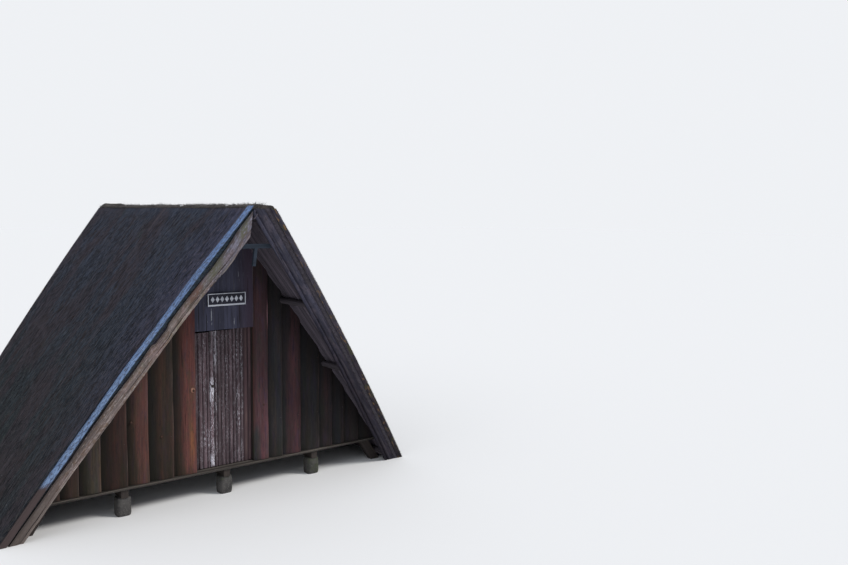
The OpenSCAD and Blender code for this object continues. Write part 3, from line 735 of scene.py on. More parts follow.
half = 0.158 + 0.010 * rugged(f * 18, turn, 3)
x = c * half * (1 - 0.10 * (s > 0) * s)
clump = 0.034 * np.exp(-((f - 0.965) / 0.02) ** 2)
on_top = (s > 0) * (0.010 * lump + 0.004 + clump)
z = RIDGE_H - CAP / 2 - 0.004 + s * CAP / 2 + on_top - 0.012 * np.abs(c) ** 6
y = verge_y(z, -1, 0.004) + f * (verge_y(z, 1, -0.004) - verge_y(z, -1, 0.004))
strip = loft(np.stack((x, y, z), -1), seed=2)
piece("sod_strip", [strip], sod_finish, replaces=["ridge_sod"], sharp=80)
chance = np.random.default_rng(77).random((TUFTS, 7))
y0 = FRONT_Y + 0.01 + (REAR_Y - FRONT_Y - 0.02) * chance[:, 0]
out_by = chance[:, 1] * 2 - 1
x0 = out_by * SOD_HALF
z0 = RIDGE_H - 0.008 - 0.02 * np.abs(out_by) ** 4
base = np.stack((x0, y0, z0), -1)
clump = ripple(y0 * 3.1, x0 * 9 + 5, 9)
reach = (0.012 + 0.045 * chance[:, 2] ** 2) * (0.4 + clump)
lean = np.stack((out_by * 1.1 + chance[:, 3] - 0.5, (chance[:, 4] - 0.5) * 1.6,
                 0.75 - 1.1 * np.abs(out_by) ** 3), -1)
tip = base + reach[:, None] * lean
tufts = stalks(base, tip, 0.0022 + 0.0016 * chance[:, 5], 0.5 * chance[:, 6], chance[:, 3])
piece("ridge_grass", [tufts], straw_finish)

pebble_finish = timber("pale_pebble", (0.46, 0.46, 0.47, 1), (0.30, 0.30, 0.31, 1), lines=40, cracks=0.0,
                       gloss=0.3)
PEBBLES = ((-0.135, -0.66, 0.020), (-0.130, -1.94, 0.016), (-0.07, 0.52, 0.015), (0.12, -1.2, 0.017))
shells = [loft(stone((x - size, y - size, RIDGE_H - 0.018), (x + size, y + size, RIDGE_H + 0.4 * size), n))
          for n, (x, y, size) in enumerate(PEBBLES)]
piece("ridge_pebbles", shells, pebble_finish, sharp=80)

# Verge battens
# A batten on each verge holds the turf's edge. The front left one was painted blue-grey
# and has faded in patches; the others are bare. They widen towards the foot.
fleck_group, given, out = effect(
    "paint_left", {"Place": ("Vector", None), "Along": ("Float", 6.0), "Across": ("Float", 60.0),
                   "Cover": ("Float", 0.5)}, {"Mask": "Float"})
stretch = add(fleck_group, "ShaderNodeCombineXYZ",
              {0: given["Along"], 1: given["Across"], 2: 4.0}).outputs[0]
patch = speckle(fleck_group, given["Place"], stretch, 5, 0.65)
start = calc(fleck_group, "SUBTRACT", 0.78, calc(fleck_group, "MULTIPLY", given["Cover"], 0.5))
fleck_group.links.new(span(fleck_group, calc(fleck_group, "SUBTRACT", patch, start), 0.0, 0.05), out["Mask"])


def blue_paint(tree, place, colour):
    """Worn blue over the wood, darker in blots and paler low down, and earth-brown below knee height."""
    worn = group_node(tree, fleck_group, Place=place, Along=30.0, Across=80.0, Cover=0.76)["Mask"]
    blot = speckle(tree, place, (14, 40, 3), 5, 0.7)
    up = own_xyz(tree)[2]
    faded = paint(tree, span(tree, up, 2.9, 1.2), (0.122, 0.198, 0.375, 1), (0.165, 0.245, 0.400, 1))
    blue = paint(tree, span(tree, blot, 0.36, 0.58), (0.050, 0.078, 0.150, 1), faded)
    earth = span(tree, calc(tree, "ADD", up, calc(tree, "MULTIPLY", blot, 0.2)), 0.76, 0.66)
    return paint(tree, earth, paint(tree, worn, colour, blue), (0.052, 0.036, 0.036, 1))


batten_blue = timber("blue_batten", (0.085, 0.088, 0.100, 1), (0.026, 0.027, 0.032, 1), lines=90,
                     cracks=0.4, layers=blue_paint)


def mottled(tree, place, colour):
    """Brown and dark patches, and a tint that turns colder and paler towards the ridge."""
    brown = span(tree, speckle(tree, place, (7, 16, 4), 4, 0.65), 0.45, 0.62)
    colour = stain(tree, colour, brown, 0.6, (0.060, 0.044, 0.044, 1))
    dark = span(tree, speckle(tree, place, (15, 30, 6), 5, 0.7), 0.50, 0.62)
    colour = stain(tree, colour, dark, 0.6, (0.017, 0.014, 0.018, 1))
    up = span(tree, own_xyz(tree)[2], 1.1, 2.9)
    return tinted(tree, colour, paint(tree, up, (0.64, 0.66, 0.84, 1), (1.30, 1.50, 1.90, 1)))


def rotten(tree, place, colour):
    """The mottled tint with green patches and ochre ones where the wood crumbles."""
    colour = mottled(tree, place, colour)
    green = span(tree, speckle(tree, place, (6, 14, 5), 4, 0.65), 0.54, 0.66)
    colour = stain(tree, colour, green, 0.55, (0.050, 0.052, 0.020, 1))
    ochre = span(tree, speckle(tree, place, (8, 20, 7), 4, 0.65), 0.54, 0.64)
    return stain(tree, colour, ochre, 0.75, (0.150, 0.092, 0.042, 1))


batten_bare = timber("bare_batten", (0.044, 0.036, 0.038, 1), (0.015, 0.012, 0.014, 1), lines=80,
                     layers=rotten, rub_and_highlight_colour=(0.30, 0.29, 0.30, 1), gloss=0.12)


def plank_section(face=20, side=2, back=4):
    """Once around a board: the place across its width and through its thickness, each from -1 to 1 and
    each arris cut off, and a mark of 1 on the front face."""
    up, down = np.linspace(-0.96, 0.96, face), np.linspace(0.96, -0.96, back)
    through = np.linspace(-0.78, 0.78, side)
    across = np.concatenate((up, np.ones(side), down, -np.ones(side)))
    thickness = np.concatenate((-np.ones(face), through, np.ones(back), -through))
    return across, thickness, np.arange(len(across)) < face


def verge_board(side, end, upper, lower, front, back, rows=200, relief=None, top=RIDGE_H - CAP,
                middle=0.001, seed=0):
    """A board along a verge: its section runs between two depths below the roof's surface, and is carried
    from the floor to the ridge on the verge's leaning plane. Relief pushes the front face in."""
    f = np.linspace(0, 1, rows)[:, None]
    across, through, face = plank_section()
    across, through = across[None] + 0 * f, through[None] + 0 * f
    up, low = upper(f), lower(f)
    t = (up + low) / 2 + across * (low - up) / 2
    uneven = face * 0.0015 * (1 + rugged(f * 40, across * 2, seed))
    depth = (front + back) / 2 + through * (back - front) / 2 + uneven
    if relief:
        depth = depth + face * relief(f, across)
    x, z = on_slope(f, t, top, middle)
    return on_verge(side, end, x, z, depth), f, across, face


def stations(shares, values):
    """A line through a few set values along the board."""
    return lambda f: np.interp(f, shares, values)


VERGES = ((-1, -1, "front_left"), (1, -1, "front_right"), (-1, 1, "rear_left"), (1, 1, "rear_right"))
# How far the battens stand out before the boards.
PROUD = 0.006
# Upper and lower edges of the painted batten, which sags: depths below the surface at shares of its run.
SAG = (0, 0.24, 0.35, 0.49, 0.64, 0.79, 0.92, 1)
SAG_HIGH = (0.035, 0.031, 0.029, 0.012, 0.008, -0.006, -0.002, -0.008)
SAG_LOW = (0.105, 0.097, 0.082, 0.065, 0.059, 0.046, 0.041, 0.038)
for side, end, place_name in VERGES:
    seed = 3 + side + 5 * end
    painted = (side, end) == (-1, -1)
    high = stations(SAG, SAG_HIGH) if painted else stations((0, 1), (-0.008, -0.008))
    low = stations(SAG, SAG_LOW) if painted else stations((0, 1), (0.058, 0.045))
    wave = lambda f: low(f) + 0.0022 * rugged(f * 30, 1.5, seed)
    top = RIDGE_H - 0.012 if painted else RIDGE_H - CAP
    rings, f, across, face = verge_board(side, end, high, wave, -PROUD, VERGE, top=top, seed=seed)
    if painted:
        edge = np.clip(np.abs(across) * 8 - 7, 0, 1) * face
    else:
        # On the bare battens the edge mark runs along the outer rim: pale rubbed wood and a painted rim
        # highlight.
        edge = np.clip(-across * 3 - 1.6, 0, 1) * (0.6 + 0.7 * ripple(f * 60, 1, 5))
    tone = (0.5 if painted else 0.28 + 0.22 * np.clip(f * 3, 0, 1)) + 0.12 * rugged(f * 9, across, 4)
    shell = loft(rings, tone=tone[None], edge=edge[None], seed=seed + 9)
    piece(f"batten_{place_name}", [shell], batten_blue if painted else batten_bare,
          replaces=[f"verge_batten_{place_name}"])

# Bargeboards
# A long waney board under each verge, sawn on one edge only. The left ones have silvered
# and split, with moss on their upper edge. The right ones stay in the shade and are dark.
def old_board(tree, place, colour):
    """Pink, brown and mossy patches and grit, a colder tint near the ridge, damp brown near the ground,
    and moss where hue is above a half or bark where it is below."""
    pink = span(tree, speckle(tree, place, (2.6, 8, 5), 4, 0.6), 0.50, 0.64)
    brown = span(tree, speckle(tree, place, (9, 26, 9), 5, 0.7), 0.49, 0.58)
    colour = stain(tree, colour, pink, 0.55, (0.235, 0.165, 0.160, 1))
    colour = stain(tree, colour, brown, 0.70, (0.105, 0.066, 0.040, 1))
    green = group_node(tree, moss_group, Place=place, Amount=0.60)["Mask"]
    colour = stain(tree, colour, green, 0.70, (0.082, 0.088, 0.048, 1))
    grit = speckle(tree, place, (26, 62, 9), 4, 0.75)
    colour = stain(tree, colour, span(tree, grit, 0.52, 0.62), 0.60, (0.070, 0.058, 0.054, 1))
    colour = stain(tree, colour, span(tree, grit, 0.46, 0.36), 0.55, (0.36, 0.33, 0.31, 1))
    up = own_xyz(tree)[2]
    by_height = paint(tree, span(tree, up, 2.2, 3.2), (0.97, 0.94, 0.96, 1), (0.76, 0.87, 1.24, 1))
    colour = tinted(tree, colour, by_height)
    blot = span(tree, speckle(tree, place, (4.2, 15, 7), 5, 0.7), 0.46, 0.60)
    colour = stain(tree, colour, blot, 0.55, (0.084, 0.062, 0.058, 1))
    hue = carried(tree, "hue")
    margin = calc(tree, "MULTIPLY", span(tree, hue, 0.5, 1.0), span(tree, grit, 0.36, 0.50))
    colour = stain(tree, colour, margin, 0.72, (0.084, 0.086, 0.050, 1))
    bark = calc(tree, "MULTIPLY", span(tree, hue, 0.5, 0.1), span(tree, grit, 0.34, 0.48))
    colour = stain(tree, colour, bark, 0.75, (0.112, 0.058, 0.046, 1))
    return stain(tree, colour, span(tree, up, 0.85, 0.25), 0.80, (0.070, 0.056, 0.050, 1))


board_light = timber("silvered_board", (0.245, 0.205, 0.188, 1), (0.052, 0.042, 0.040, 1), lines=50,
                     cracks=1.0, depth=0.009, layers=old_board, rub_and_highlight_colour=(0.30, 0.27, 0.24, 1))
board_dark = timber("shaded_board", (0.045, 0.039, 0.045, 1), (0.014, 0.012, 0.015, 1), lines=58,
                    cracks=1.0, depth=0.008, layers=mottled, rub_and_highlight_colour=(0.085, 0.078, 0.082, 1), gloss=0.12)
# Depths below the roof's surface of the left boards' lower and upper edges at shares of the way up, and
# between them the place across the board of its long split.
WANEY = stations((0, 0.19, 0.32, 0.44, 0.53, 0.63, 0.71, 0.78, 0.84, 0.89, 0.93, 0.95, 1.0),
                 (0.238, 0.237, 0.243, 0.244, 0.241, 0.238, 0.230, 0.232, 0.245, 0.262, 0.258, 0.243, 0.240))
SPLIT = stations((0, 0.08, 0.2, 0.35, 0.5, 0.62, 0.74, 0.9, 1),
                 (0.42, 0.46, 0.34, 0.44, 0.34, 0.46, 0.40, 0.36, 0.40))
RAGGED = stations((0, 0.19, 0.25, 0.31, 0.42, 0.505, 0.55, 0.585, 0.60, 0.645, 0.655, 0.73, 0.80, 0.83,
                   0.89, 0.92, 0.94, 1.0),
                  (0.122, 0.130, 0.132, 0.121, 0.109, 0.119, 0.110, 0.101, 0.128, 0.126, 0.104, 0.102,
                   0.108, 0.111, 0.099, 0.086, 0.072, 0.070))
# At the apex the left boards end short of the middle plane and the right ones run past it.
LEFT_SHORT, RIGHT_PAST = 0.098, 0.085


def split_board(f, across):
    """How deep the long split is: a narrow bell across a wandering line, closing up in places, and a step
    down to the part below it."""
    open_run = np.clip(1.5 - 1.6 * np.abs(2 * ripple(f * 5.3, 0.5, 11) - 0.9), 0.15, 1)
    apart = across - SPLIT(f) - 0.05 * rugged(f * 30, 0.5, 9)
    bell = open_run * 0.012 * np.exp(-(apart / 0.065) ** 2)
    return bell + 0.005 * np.clip(apart * 6, 0, 1) * (0.4 + 0.6 * open_run)


def low_split(f, across):
    """A split near the lower edge: a narrow bell across the board along a wandering line."""
    return np.exp(-((across - 0.38 - 0.04 * rugged(f * 24, 0.5, 8)) / 0.09) ** 2)


def round_board(f, across):
    """A board cut from a log's outside: highest a little above its middle, falling off to both edges."""
    fall = 0.012 * np.clip(np.abs(across + 0.15) - 0.1, 0, 1) ** 1.6
    return fall + 0.002 * (1 + rugged(f * 25, across * 3, 6)) + 0.012 * low_split(f, across)


for side, end, place_name in VERGES:
    seed = 11 + side + 5 * end
    light = side < 0
    low = WANEY if light else stations((0, 1), (0.236, 0.242))
    lower = lambda f: low(f) + 0.0035 * rugged(f * 22, 2.5, seed) + 0.002 * rugged(f * 90, 2.5, seed + 1)
    rough = RAGGED if light else stations((0, 1), (0.100, 0.100))
    upper = lambda f: rough(f) + 0.003 * rugged(f * 26, 4.5, seed) + 0.0015 * rugged(f * 110, 4.5, seed + 2)
    rings, f, across, face = verge_board(side, end, upper, lower, 0.0, VERGE, rows=260, seed=seed,
                                         middle=LEFT_SHORT if light else -RIGHT_PAST,
                                         relief=split_board if light else round_board)
    if light:
        groove = split_board(f, across)
        tone = 0.52 + 0.16 * rugged(f * 11, across * 2, 5) + 0.26 * (across > SPLIT(f) + 0.1)
        tone = tone - 85 * np.clip(groove - 0.0055, 0, 1) - 0.25 * (across < -0.75)
        # The edge mark along the lower arris is rubbed wood and also a painted highlight along it.
        edge = np.clip(across * 5 - 4, 0, 1) * face * 1.2
        mossy = np.exp(-((f - 0.965) / 0.022) ** 2) + np.exp(-((f - 0.845) / 0.038) ** 2)
        hue = 0.5 + 0.5 * np.clip(mossy, 0, 1) * np.clip(0.9 - 1.6 * across, 0, 1)
        hue = hue - 0.5 * np.exp(-((f - 0.765) / 0.030) ** 2) * np.clip(0.8 - 1.4 * across, 0, 1)
    else:
        hue = 0.5 + 0 * across
        foot_shade = np.clip(1.5 - 2.5 * f, 0, 1) * np.clip(across + 0.6, 0, 1)
        tone = 0.50 + 0.14 * rugged(f * 9, across, 5) - 0.30 * low_split(f, across)
        tone = tone + 0.10 * (across > 0.45) - 0.25 * foot_shade
        # The edge mark on the board's crest is a painted highlight along it.
        edge = np.clip(1 - np.abs(across + 0.15) * 4, 0, 1) * face * 0.7
    shell = loft(rings, tone=np.clip(tone, 0.02, 1)[None], hue=hue[None], edge=edge[None], seed=seed + 4)
    piece(f"board_{place_name}", [shell], board_light if light else board_dark,
          replaces=[f"bargeboard_{place_name}"])

# Grass on the verges
# Dead blades stand out of the turf's cut edge between batten and board. On the right
# they also hang over the batten, some of them yellow, with pale straw along the rim whose paleness
# is partly a painted rim highlight.
VERGE_RUN, LOWEST = 4.3, 0.002
edge_finish, tree, shader = material("cut_turf")
place = place_of(tree, "uv")
clod = speckle(tree, place, (26, 34, 9), 5, 0.7)
layer = speckle(tree, place, (3, 46, 9), 3, 0.6)
at = own_xyz(tree)
on_right = calc(tree, "GREATER_THAN", at[0], 0.0)
crumbs = paint(tree, on_right, (0.034, 0.052, 0.074, 1), (0.058, 0.052, 0.064, 1))
hollows = paint(tree, on_right, (0.018, 0.024, 0.032, 1), (0.036, 0.032, 0.042, 1))
colour = paint(tree, span(tree, clod, 0.38, 0.62), hollows, crumbs)
colour = stain(tree, colour, span(tree, layer, 0.5, 0.7), 0.4, (0.036, 0.034, 0.028, 1))
tree.links.new(colour, shader.inputs["Base Color"])
dull(shader, 0.95, 0.15)
emboss(tree, shader, clod, 1.0, 0.006)
for side, end, place_name in VERGES:
    f = np.linspace(0, 1, 320)[:, None]
    turn = (np.arange(22) + 0.5)[None] * 2 * np.pi / 22
    c, s = bulged(turn, 0.4)
    set_in = 0.004 if side > 0 else 0.024
    lump = (0.35 if side > 0 else 1.0) * (0.006 * rugged(f * 90 + side, turn, 4)
                                          + 0.004 * rugged(f * 30, turn, 7))
    t = 0.076 + c * (0.034 + 0 * f) + lump * (c > 0)
    depth = set_in + 0.010 + s * 0.010 + (s < 0) * (lump + 0.006 * np.abs(c) ** 4)
    x, z = on_slope(f, t)
    shell = loft(on_verge(side, end, x, z, depth), seed=20 + side + end)
    piece(f"turf_edge_{place_name}", [shell], edge_finish, sharp=75)

verge_straw = dead_grass("verge_grass", (0.018, 0.015, 0.014, 1), (0.125, 0.115, 0.105, 1),
                         (0.125, 0.090, 0.026, 1))
# The rim straw's pale colour is partly dry straw and partly a painted rim highlight.
rim_straw = dead_grass("rim_grass", (0.09, 0.08, 0.07, 1), (0.34, 0.33, 0.30, 1), (0.2, 0.15, 0.05, 1))
for side, end, place_name in VERGES:
    near, right_front = end < 0, (side, end) == (1, -1)
    count = 5200 if right_front else 1500
    chance = np.random.default_rng(90 + side + 3 * end).random((count, 8))
    f = 0.01 + 0.985 * chance[:, 0]
    thick = 0.058 + 0.038 * chance[:, 1]
    x, z = on_slope(f, thick)
    base = on_verge(side, end, x, z, 0.034)
    reach = (0.016 + 0.022 * chance[:, 2]) * (1.25 if side > 0 else 0.8)
    xt, zt = on_slope(np.maximum(f - reach * 0.35 * chance[:, 3] / VERGE_RUN, 0),
                      thick + reach * 0.7 * chance[:, 4])
    tip = on_verge(side, end, xt, zt, 0.034 - reach, LOWEST)
    hue = chance[:, 6] * (0.5 + 0.5 * (rugged(f * 11, side * 2.0, 7) > -0.1)) * (1.0 if side > 0 else 0.7)
    lit = chance[:, 7] ** 1.3 * (0.6 + 0.7 * np.clip(2.6 - 4 * f, 0, 1) if right_front else 1.0)
    sheaves = [stalks(base, tip, 0.0012 + 0.0016 * chance[:, 5], lit, hue)]
    if side > 0:
        over = np.random.default_rng(190 + end).random((3400 if near else 1500, 7))
        f = 0.006 + 0.99 * over[:, 0]
        x, z = on_slope(f, -0.006)
        base = on_verge(side, end, x, z, 0.045 + 0.03 * over[:, 1])
        thick = -0.006 + 0.040 * over[:, 2] ** 2 - 0.012 * over[:, 6]
        xt, zt = on_slope(np.maximum(f - (0.01 + 0.04 * over[:, 3]) / VERGE_RUN, 0), thick)
        tip = on_verge(side, end, xt, zt, -0.012 * over[:, 4], LOWEST)
        sheaves.append(stalks(base, tip, 0.0014 + 0.0018 * over[:, 5], 0.25 + 0.75 * over[:, 6],
                              0.45 + 0.55 * over[:, 1]))
    piece(f"verge_grass_{place_name}", sheaves, verge_straw)
    if side > 0:
        rim = np.random.default_rng(290 + end).random((4500, 6))
        f = 0.004 + 0.99 * rim[:, 0]
        x, z = on_slope(f, -0.002)
        base = on_verge(side, end, x, z, 0.004 + 0.03 * rim[:, 1])
        xt, zt = on_slope(np.maximum(f - 0.02 * rim[:, 2] / VERGE_RUN, 0), -0.009 - 0.010 * rim[:, 3] ** 2)
        tip = on_verge(side, end, xt, zt, -0.004 + 0.02 * rim[:, 1], LOWEST)
        rim_stalks = stalks(base, tip, 0.0013 + 0.0014 * rim[:, 4], rim[:, 5], 0 * rim[:, 5])
        piece(f"rim_grass_{place_name}", [rim_stalks], rim_straw)

# Gable walls
# Outer slabs of logs stand on the sill, each lapped over the next, stained red-brown
# long ago. The rounded face has weathered grey-green on some and stayed red on others.
WALL_FRONT, WALL_REAR = -1.582, 1.798
FLOOR_Z, DOOR_TOP, OPENING = 0.330, 2.000, 0.3745
SLAB, THICK, STEP = 0.250, 0.055, 0.034
# Widths of the slabs from the doorway outwards, in shares of SLAB.
LEFT_SHARES = (1.09, 1.16, 0.96, 1.16, 0.92, 0.8, 1, 1.1)
RIGHT_SHARES = (0.76, 0.8, 1.04, 1.12, 0.8, 0.76, 0.9, 1.05, 1)


def wall_top(x):
    """Height of the lathing's middle over a place x: the slabs run up between the round poles."""
    return slope_point(run_at_width(np.abs(x), TURF + DECK / 2), TURF + DECK / 2)[1]


def slab_row(edges, foot, tones, hues, step=STEP, proud=0.0, seed=0, lap=0.007, worn=None, tuck_shade=0.12):
    """Upright slabs between edges: the face swells on a curve from a tucked left edge to a proud, rounded
    right one, the back is flat, and every point's row is shared out between the foot and the lathing
    above it. Red stain is left on the crest only. Tone falls towards the tucked edge as painted shade of
    the lap, and edge marks the proud right edge, rubbed and with a painted highlight. Worn, if given, may
    change tone and hue, for wear and for painted light."""
    x0, x1 = np.array(edges[:-1])[:, None, None], np.array(edges[1:])[:, None, None]
    face_run = np.sin(np.linspace(0, np.pi / 2, 22)) ** 1.2
    across = np.concatenate((face_run, (1, 1, 0.5, 0, 0)))[None, None]
    face = np.concatenate((np.ones(len(face_run)), (0.5, 0, 0, 0, 0.5)))[None, None]
    f = np.linspace(0, 1, 90)[None, :, None]
    number = np.arange(len(edges) - 1)[:, None, None] * 3.7 + seed
    height = wall_top((x0 + x1) / 2) - foot
    sway = lap * rugged(f * height * 1.7, number, 1)
    x = x0 + across * (x1 - x0) + sway * across * (1 - across * (number == number.max()))
    x = x + 0.002 * rugged(f * height * 9, number, 5) * across
    front = step * (1 - across) ** 2 + 0.30 * step * np.clip((across - 0.86) / 0.14, 0, 1) ** 2 + proud
    front = front + 0.0040 * (1 + rugged(f * height * 2.2 + across, number + across * 2, 3))
    front = front + 0.0010 * rugged(across * (x1 - x0) * 60, number + f * height * 1.2, 7)
    y = front * face + THICK * (1 - face)
    z = foot + f * (np.maximum(wall_top(x), foot + 0.01) - foot)
    # Painted highlight and rub along the proud right edge.
    edge = np.clip(across * 12 - 11, 0, 1) * (face > 0.4) + 0 * f + 0 * x
    # Painted shade: tone falls towards the tucked left edge, in the lap's shadow.
    lap_shade = tuck_shade + (1 - tuck_shade) * np.clip((across - 0.12) / 0.46, 0, 1) ** 1.2 if step > 0.01 else 1.0
    crest = 0.15 + 0.85 * np.clip((across - 0.10) / 0.42, 0, 1) if step > 0.01 else 1.0
    uneven = 0.90 + 0.20 * ripple(across * 2 + number, f * 3, 2)
    tone = np.array(tones)[:, None, None] * lap_shade * uneven + 0 * f
    hue = np.array(hues)[:, None, None] * crest + 0 * f
    if worn:
        worn(tone, hue, across[0], z)
    return loft(np.stack(np.broadcast_arrays(x, y, z), -1), tone=tone, hue=hue, edge=edge, seed=seed)


def slab_stain(tree, place, colour):
    """Red stain or bare brown wood after hue, orange where it is high and mossy where it is low, times
    the grain. Then rot, purple and olive patches, a painted cold shade over the right half, painted
    shade under the roof and damp above the sill."""
    hue = carried(tree, "hue")
    drift = speckle(tree, place, (1.0, 7, 2), 5, 0.65)
    left = calc(tree, "ADD", hue, calc(tree, "MULTIPLY", calc(tree, "SUBTRACT", drift, 0.5), 1.2))
    bare = paint(tree, span(tree, speckle(tree, place, (0.8, 9, 5), 4, 0.6), 0.36, 0.64),
                 (0.034, 0.027, 0.024, 1), (0.044, 0.028, 0.019, 1))
    stained = paint(tree, span(tree, left, -0.05, 1.05), bare, (0.100, 0.031, 0.028, 1))
    stained = stain(tree, stained, span(tree, left, 1.10, 1.9), 0.8, (0.185, 0.064, 0.030, 1))
    stained = paint(tree, span(tree, left, -0.25, -0.75), stained, (0.030, 0.040, 0.017, 1))
    stained = tinted(tree, stained, colour)
    rot = speckle(tree, place, (7, 34, 8), 5, 0.72)
    stained = stain(tree, stained, span(tree, rot, 0.50, 0.64), 0.50, (0.022, 0.016, 0.019, 1))
    stained = stain(tree, stained, span(tree, rot, 0.44, 0.34), 0.35, (0.070, 0.048, 0.040, 1))
    purple = span(tree, speckle(tree, place, (2.6, 11, 5), 4, 0.65), 0.52, 0.66)
    stained = stain(tree, stained, purple, 0.32, (0.052, 0.026, 0.040, 1))
    olive = span(tree, speckle(tree, place, (3.1, 9, 7), 4, 0.65), 0.54, 0.68)
    stained = stain(tree, stained, olive, 0.32, (0.034, 0.034, 0.018, 1))
    # Painted shade: the right half is tinted colder, as if lit by the sky alone.
    shade = span(tree, own_xyz(tree)[0], 0.36, 0.42)
    stained = paint(tree, shade, stained, tinted(tree, stained, (0.99, 1.09, 1.44, 1)))
    stained = tinted(tree, stained, (1.14, 1.38, 1.38, 1))
    near_roof = add(tree, "ShaderNodeSeparateXYZ", {0: place_of(tree, "slope")}).outputs[1]
    stained = stain(tree, stained, span(tree, near_roof, 1.58, 1.97), 0.62, (0.013, 0.011, 0.013, 1))
    up = own_xyz(tree)[2]
    damp = calc(tree, "MULTIPLY", span(tree, up, 0.85, 0.33),
                span(tree, speckle(tree, place, (2, 9, 3), 4), 0.40, 0.65))
    return stain(tree, stained, damp, 0.6, (0.026, 0.026, 0.017, 1))


slab_finish = timber("stained_slab", (1.25, 1.22, 1.18, 1), (0.62, 0.60, 0.58, 1), lines=44, cracks=0.45,
                     depth=0.005, layers=slab_stain, rub_and_highlight_colour=(0.092, 0.066, 0.060, 1), gloss=0.15)


def outward(shares, start, limit):
    """Edges of slabs laid outwards from the doorway until they reach the limit."""
    edges = start + SLAB * np.concatenate(((0,), np.cumsum(shares)))
    return np.concatenate((edges[edges < limit - 0.05], (limit,)))


def at_wall(shell, wall, turned=False):
    """Moves a row of slabs to its wall, turned to face the rear if asked."""
    if turned:
        shell["points"] = shell["points"] * (-1, -1, 1)
    shell["points"] = shell["points"] + (0, wall, 0)
    return shell


def left_wear(tone, hue, across, z):
    """The slab beside the door shows orange wood low down on its crest."""
    low = np.exp(-((z[-1] - 0.62) / 0.36) ** 2) * np.exp(-((across - 0.80) / 0.13) ** 2)
    by_knot = np.exp(-((z[-1] - 1.30) / 0.16) ** 2) * np.clip((across - 0.5) * 3, 0, 1)
    hue[-1] += 0.75 * low + 0.30 * by_knot


def right_wear_and_light(tone, hue, across, z):
    """The first slab is red across its face, darker towards its lapped left edge as painted shade, has a
    painted highlight on its right edge below the panel's middle, and is mossy at its lower left."""
    lap_shade_share = 0.55 + 0.45 * np.clip(across / 0.3, 0, 1)
    tone[0] = 0.40 * lap_shade_share * (0.85 + 0.3 * ripple(z[0] * 2, across * 3, 6))
    damp = np.clip((0.86 - z[0]) * 2.6, 0, 1) * np.clip((0.52 - across) * 3.2, 0, 1)
    hue[0] = 0.66 - 1.1 * damp * (0.3 + 0.9 * ripple(z[0] * 11, across * 5, 13))
    # Painted highlight on the right edge below the panel's middle.
    tone[0] += 4.5 * np.exp(-((z[0] - 2.16) / 0.13) ** 2) * np.clip((across - 0.90) * 12, 0, 1)


WALL_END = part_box("front_wall_right")[1][0]
left_edges = -outward(LEFT_SHARES, OPENING, WALL_END)[::-1]
right_edges = outward(RIGHT_SHARES, OPENING, WALL_END)
left_tones = np.array((0.46, 0.20, 0.44, 0.17, 0.52, 0.36, 0.30, 0.30))[len(left_edges) - 2::-1]
left_hues = np.array((0.95, 0.36, 0.62, 0.50, 0.08, 0.55, 0.30, 0.4))[len(left_edges) - 2::-1]
# The right slabs' tones are partly their wood and partly painted shade from the roof's overhang.
right_tones = np.array((0.46, 0.22, 0.22, 0.13, 0.15, 0.13, 0.13, 0.15, 0.15))[:len(right_edges) - 1]
right_hues = np.array((0.72, 0.05, 0.72, 0.05, 0.45, 0.15, 0.3, 0.3, 0.3))[:len(right_edges) - 1]
slabs = slab_row(left_edges, FLOOR_Z, left_tones, left_hues, seed=1, worn=left_wear)
piece("slabs_front_left", [at_wall(slabs, WALL_FRONT)], slab_finish,
      replaces=["front_wall_left"])
slabs = slab_row(right_edges, FLOOR_Z, right_tones, right_hues, seed=2, worn=right_wear_and_light, tuck_shade=0.5)
piece("slabs_front_right", [at_wall(slabs, WALL_FRONT)], slab_finish,
      replaces=["front_wall_right"])
all_edges = np.concatenate((left_edges, (-0.15, 0.127), right_edges))
chance = np.random.default_rng(5).random((len(all_edges) - 1, 2))
slabs = slab_row(all_edges, FLOOR_Z, 0.22 + 0.30 * chance[:, 0], 0.8 * chance[:, 1], seed=4)
piece("slabs_rear", [at_wall(slabs, WALL_REAR, True)], slab_finish, replaces=["rear_wall"])


def knot(x, z, wall, size, out, bright):
    """A dead knot, taller than wide and uneven: rings shrink towards a dark, off-centre middle while they
    stand off the slab, then dip back in."""
    turn = np.linspace(0, 2 * np.pi, 18, endpoint=False)
    girth = np.array((1.0, 0.92, 0.66, 0.48, 0.42, 0.16))[:, None]
    lift = np.array((-0.010, 0.0005, 0.002, 0.003, 0.000, -0.001))[:, None]
    aside = (1 - girth) * size * 0.62
    ring = np.stack((x + girth * size * np.cos(turn) * (1 + 0.16 * np.sin(2 * turn + size * 300)) + aside,
                     wall + out * lift + 0 * turn, z + girth * size * 1.3 * np.sin(turn) - aside), -1)
    return loft(ring, tone=np.array((0.2, 0.5, 1.0, 0.6, 0.0, 0.0))[None, :, None] * bright)


knot_wood = timber("knot_wood", (0.230, 0.120, 0.085, 1), (0.080, 0.032, 0.022, 1), lines=60, cracks=0.3)
# x, z, how far inside the wall's face the knot's rim lies, size and brightness.
FRONT_KNOTS = ((-0.415, 1.325, 0.003, 0.027, 0.85), (-0.79, 0.83, 0.004, 0.011, 0.12),
               (0.50, 1.02, 0.004, 0.010, 0.12), (-1.13, 1.05, 0.004, 0.012, 0.15),
               (0.98, 0.66, 0.004, 0.011, 0.10))
REAR_KNOTS = ((0.40, 1.45, 0.015), (-0.22, 2.05, 0.013), (-0.9, 0.75, 0.014))
knots = [knot(x, z, WALL_FRONT + inside, size, -1, bright) for x, z, inside, size, bright in FRONT_KNOTS]
knots += [knot(x, z, WALL_REAR - 0.004, size, 1, 0.2) for x, z, size in REAR_KNOTS]
piece("slab_knots", knots, knot_wood)


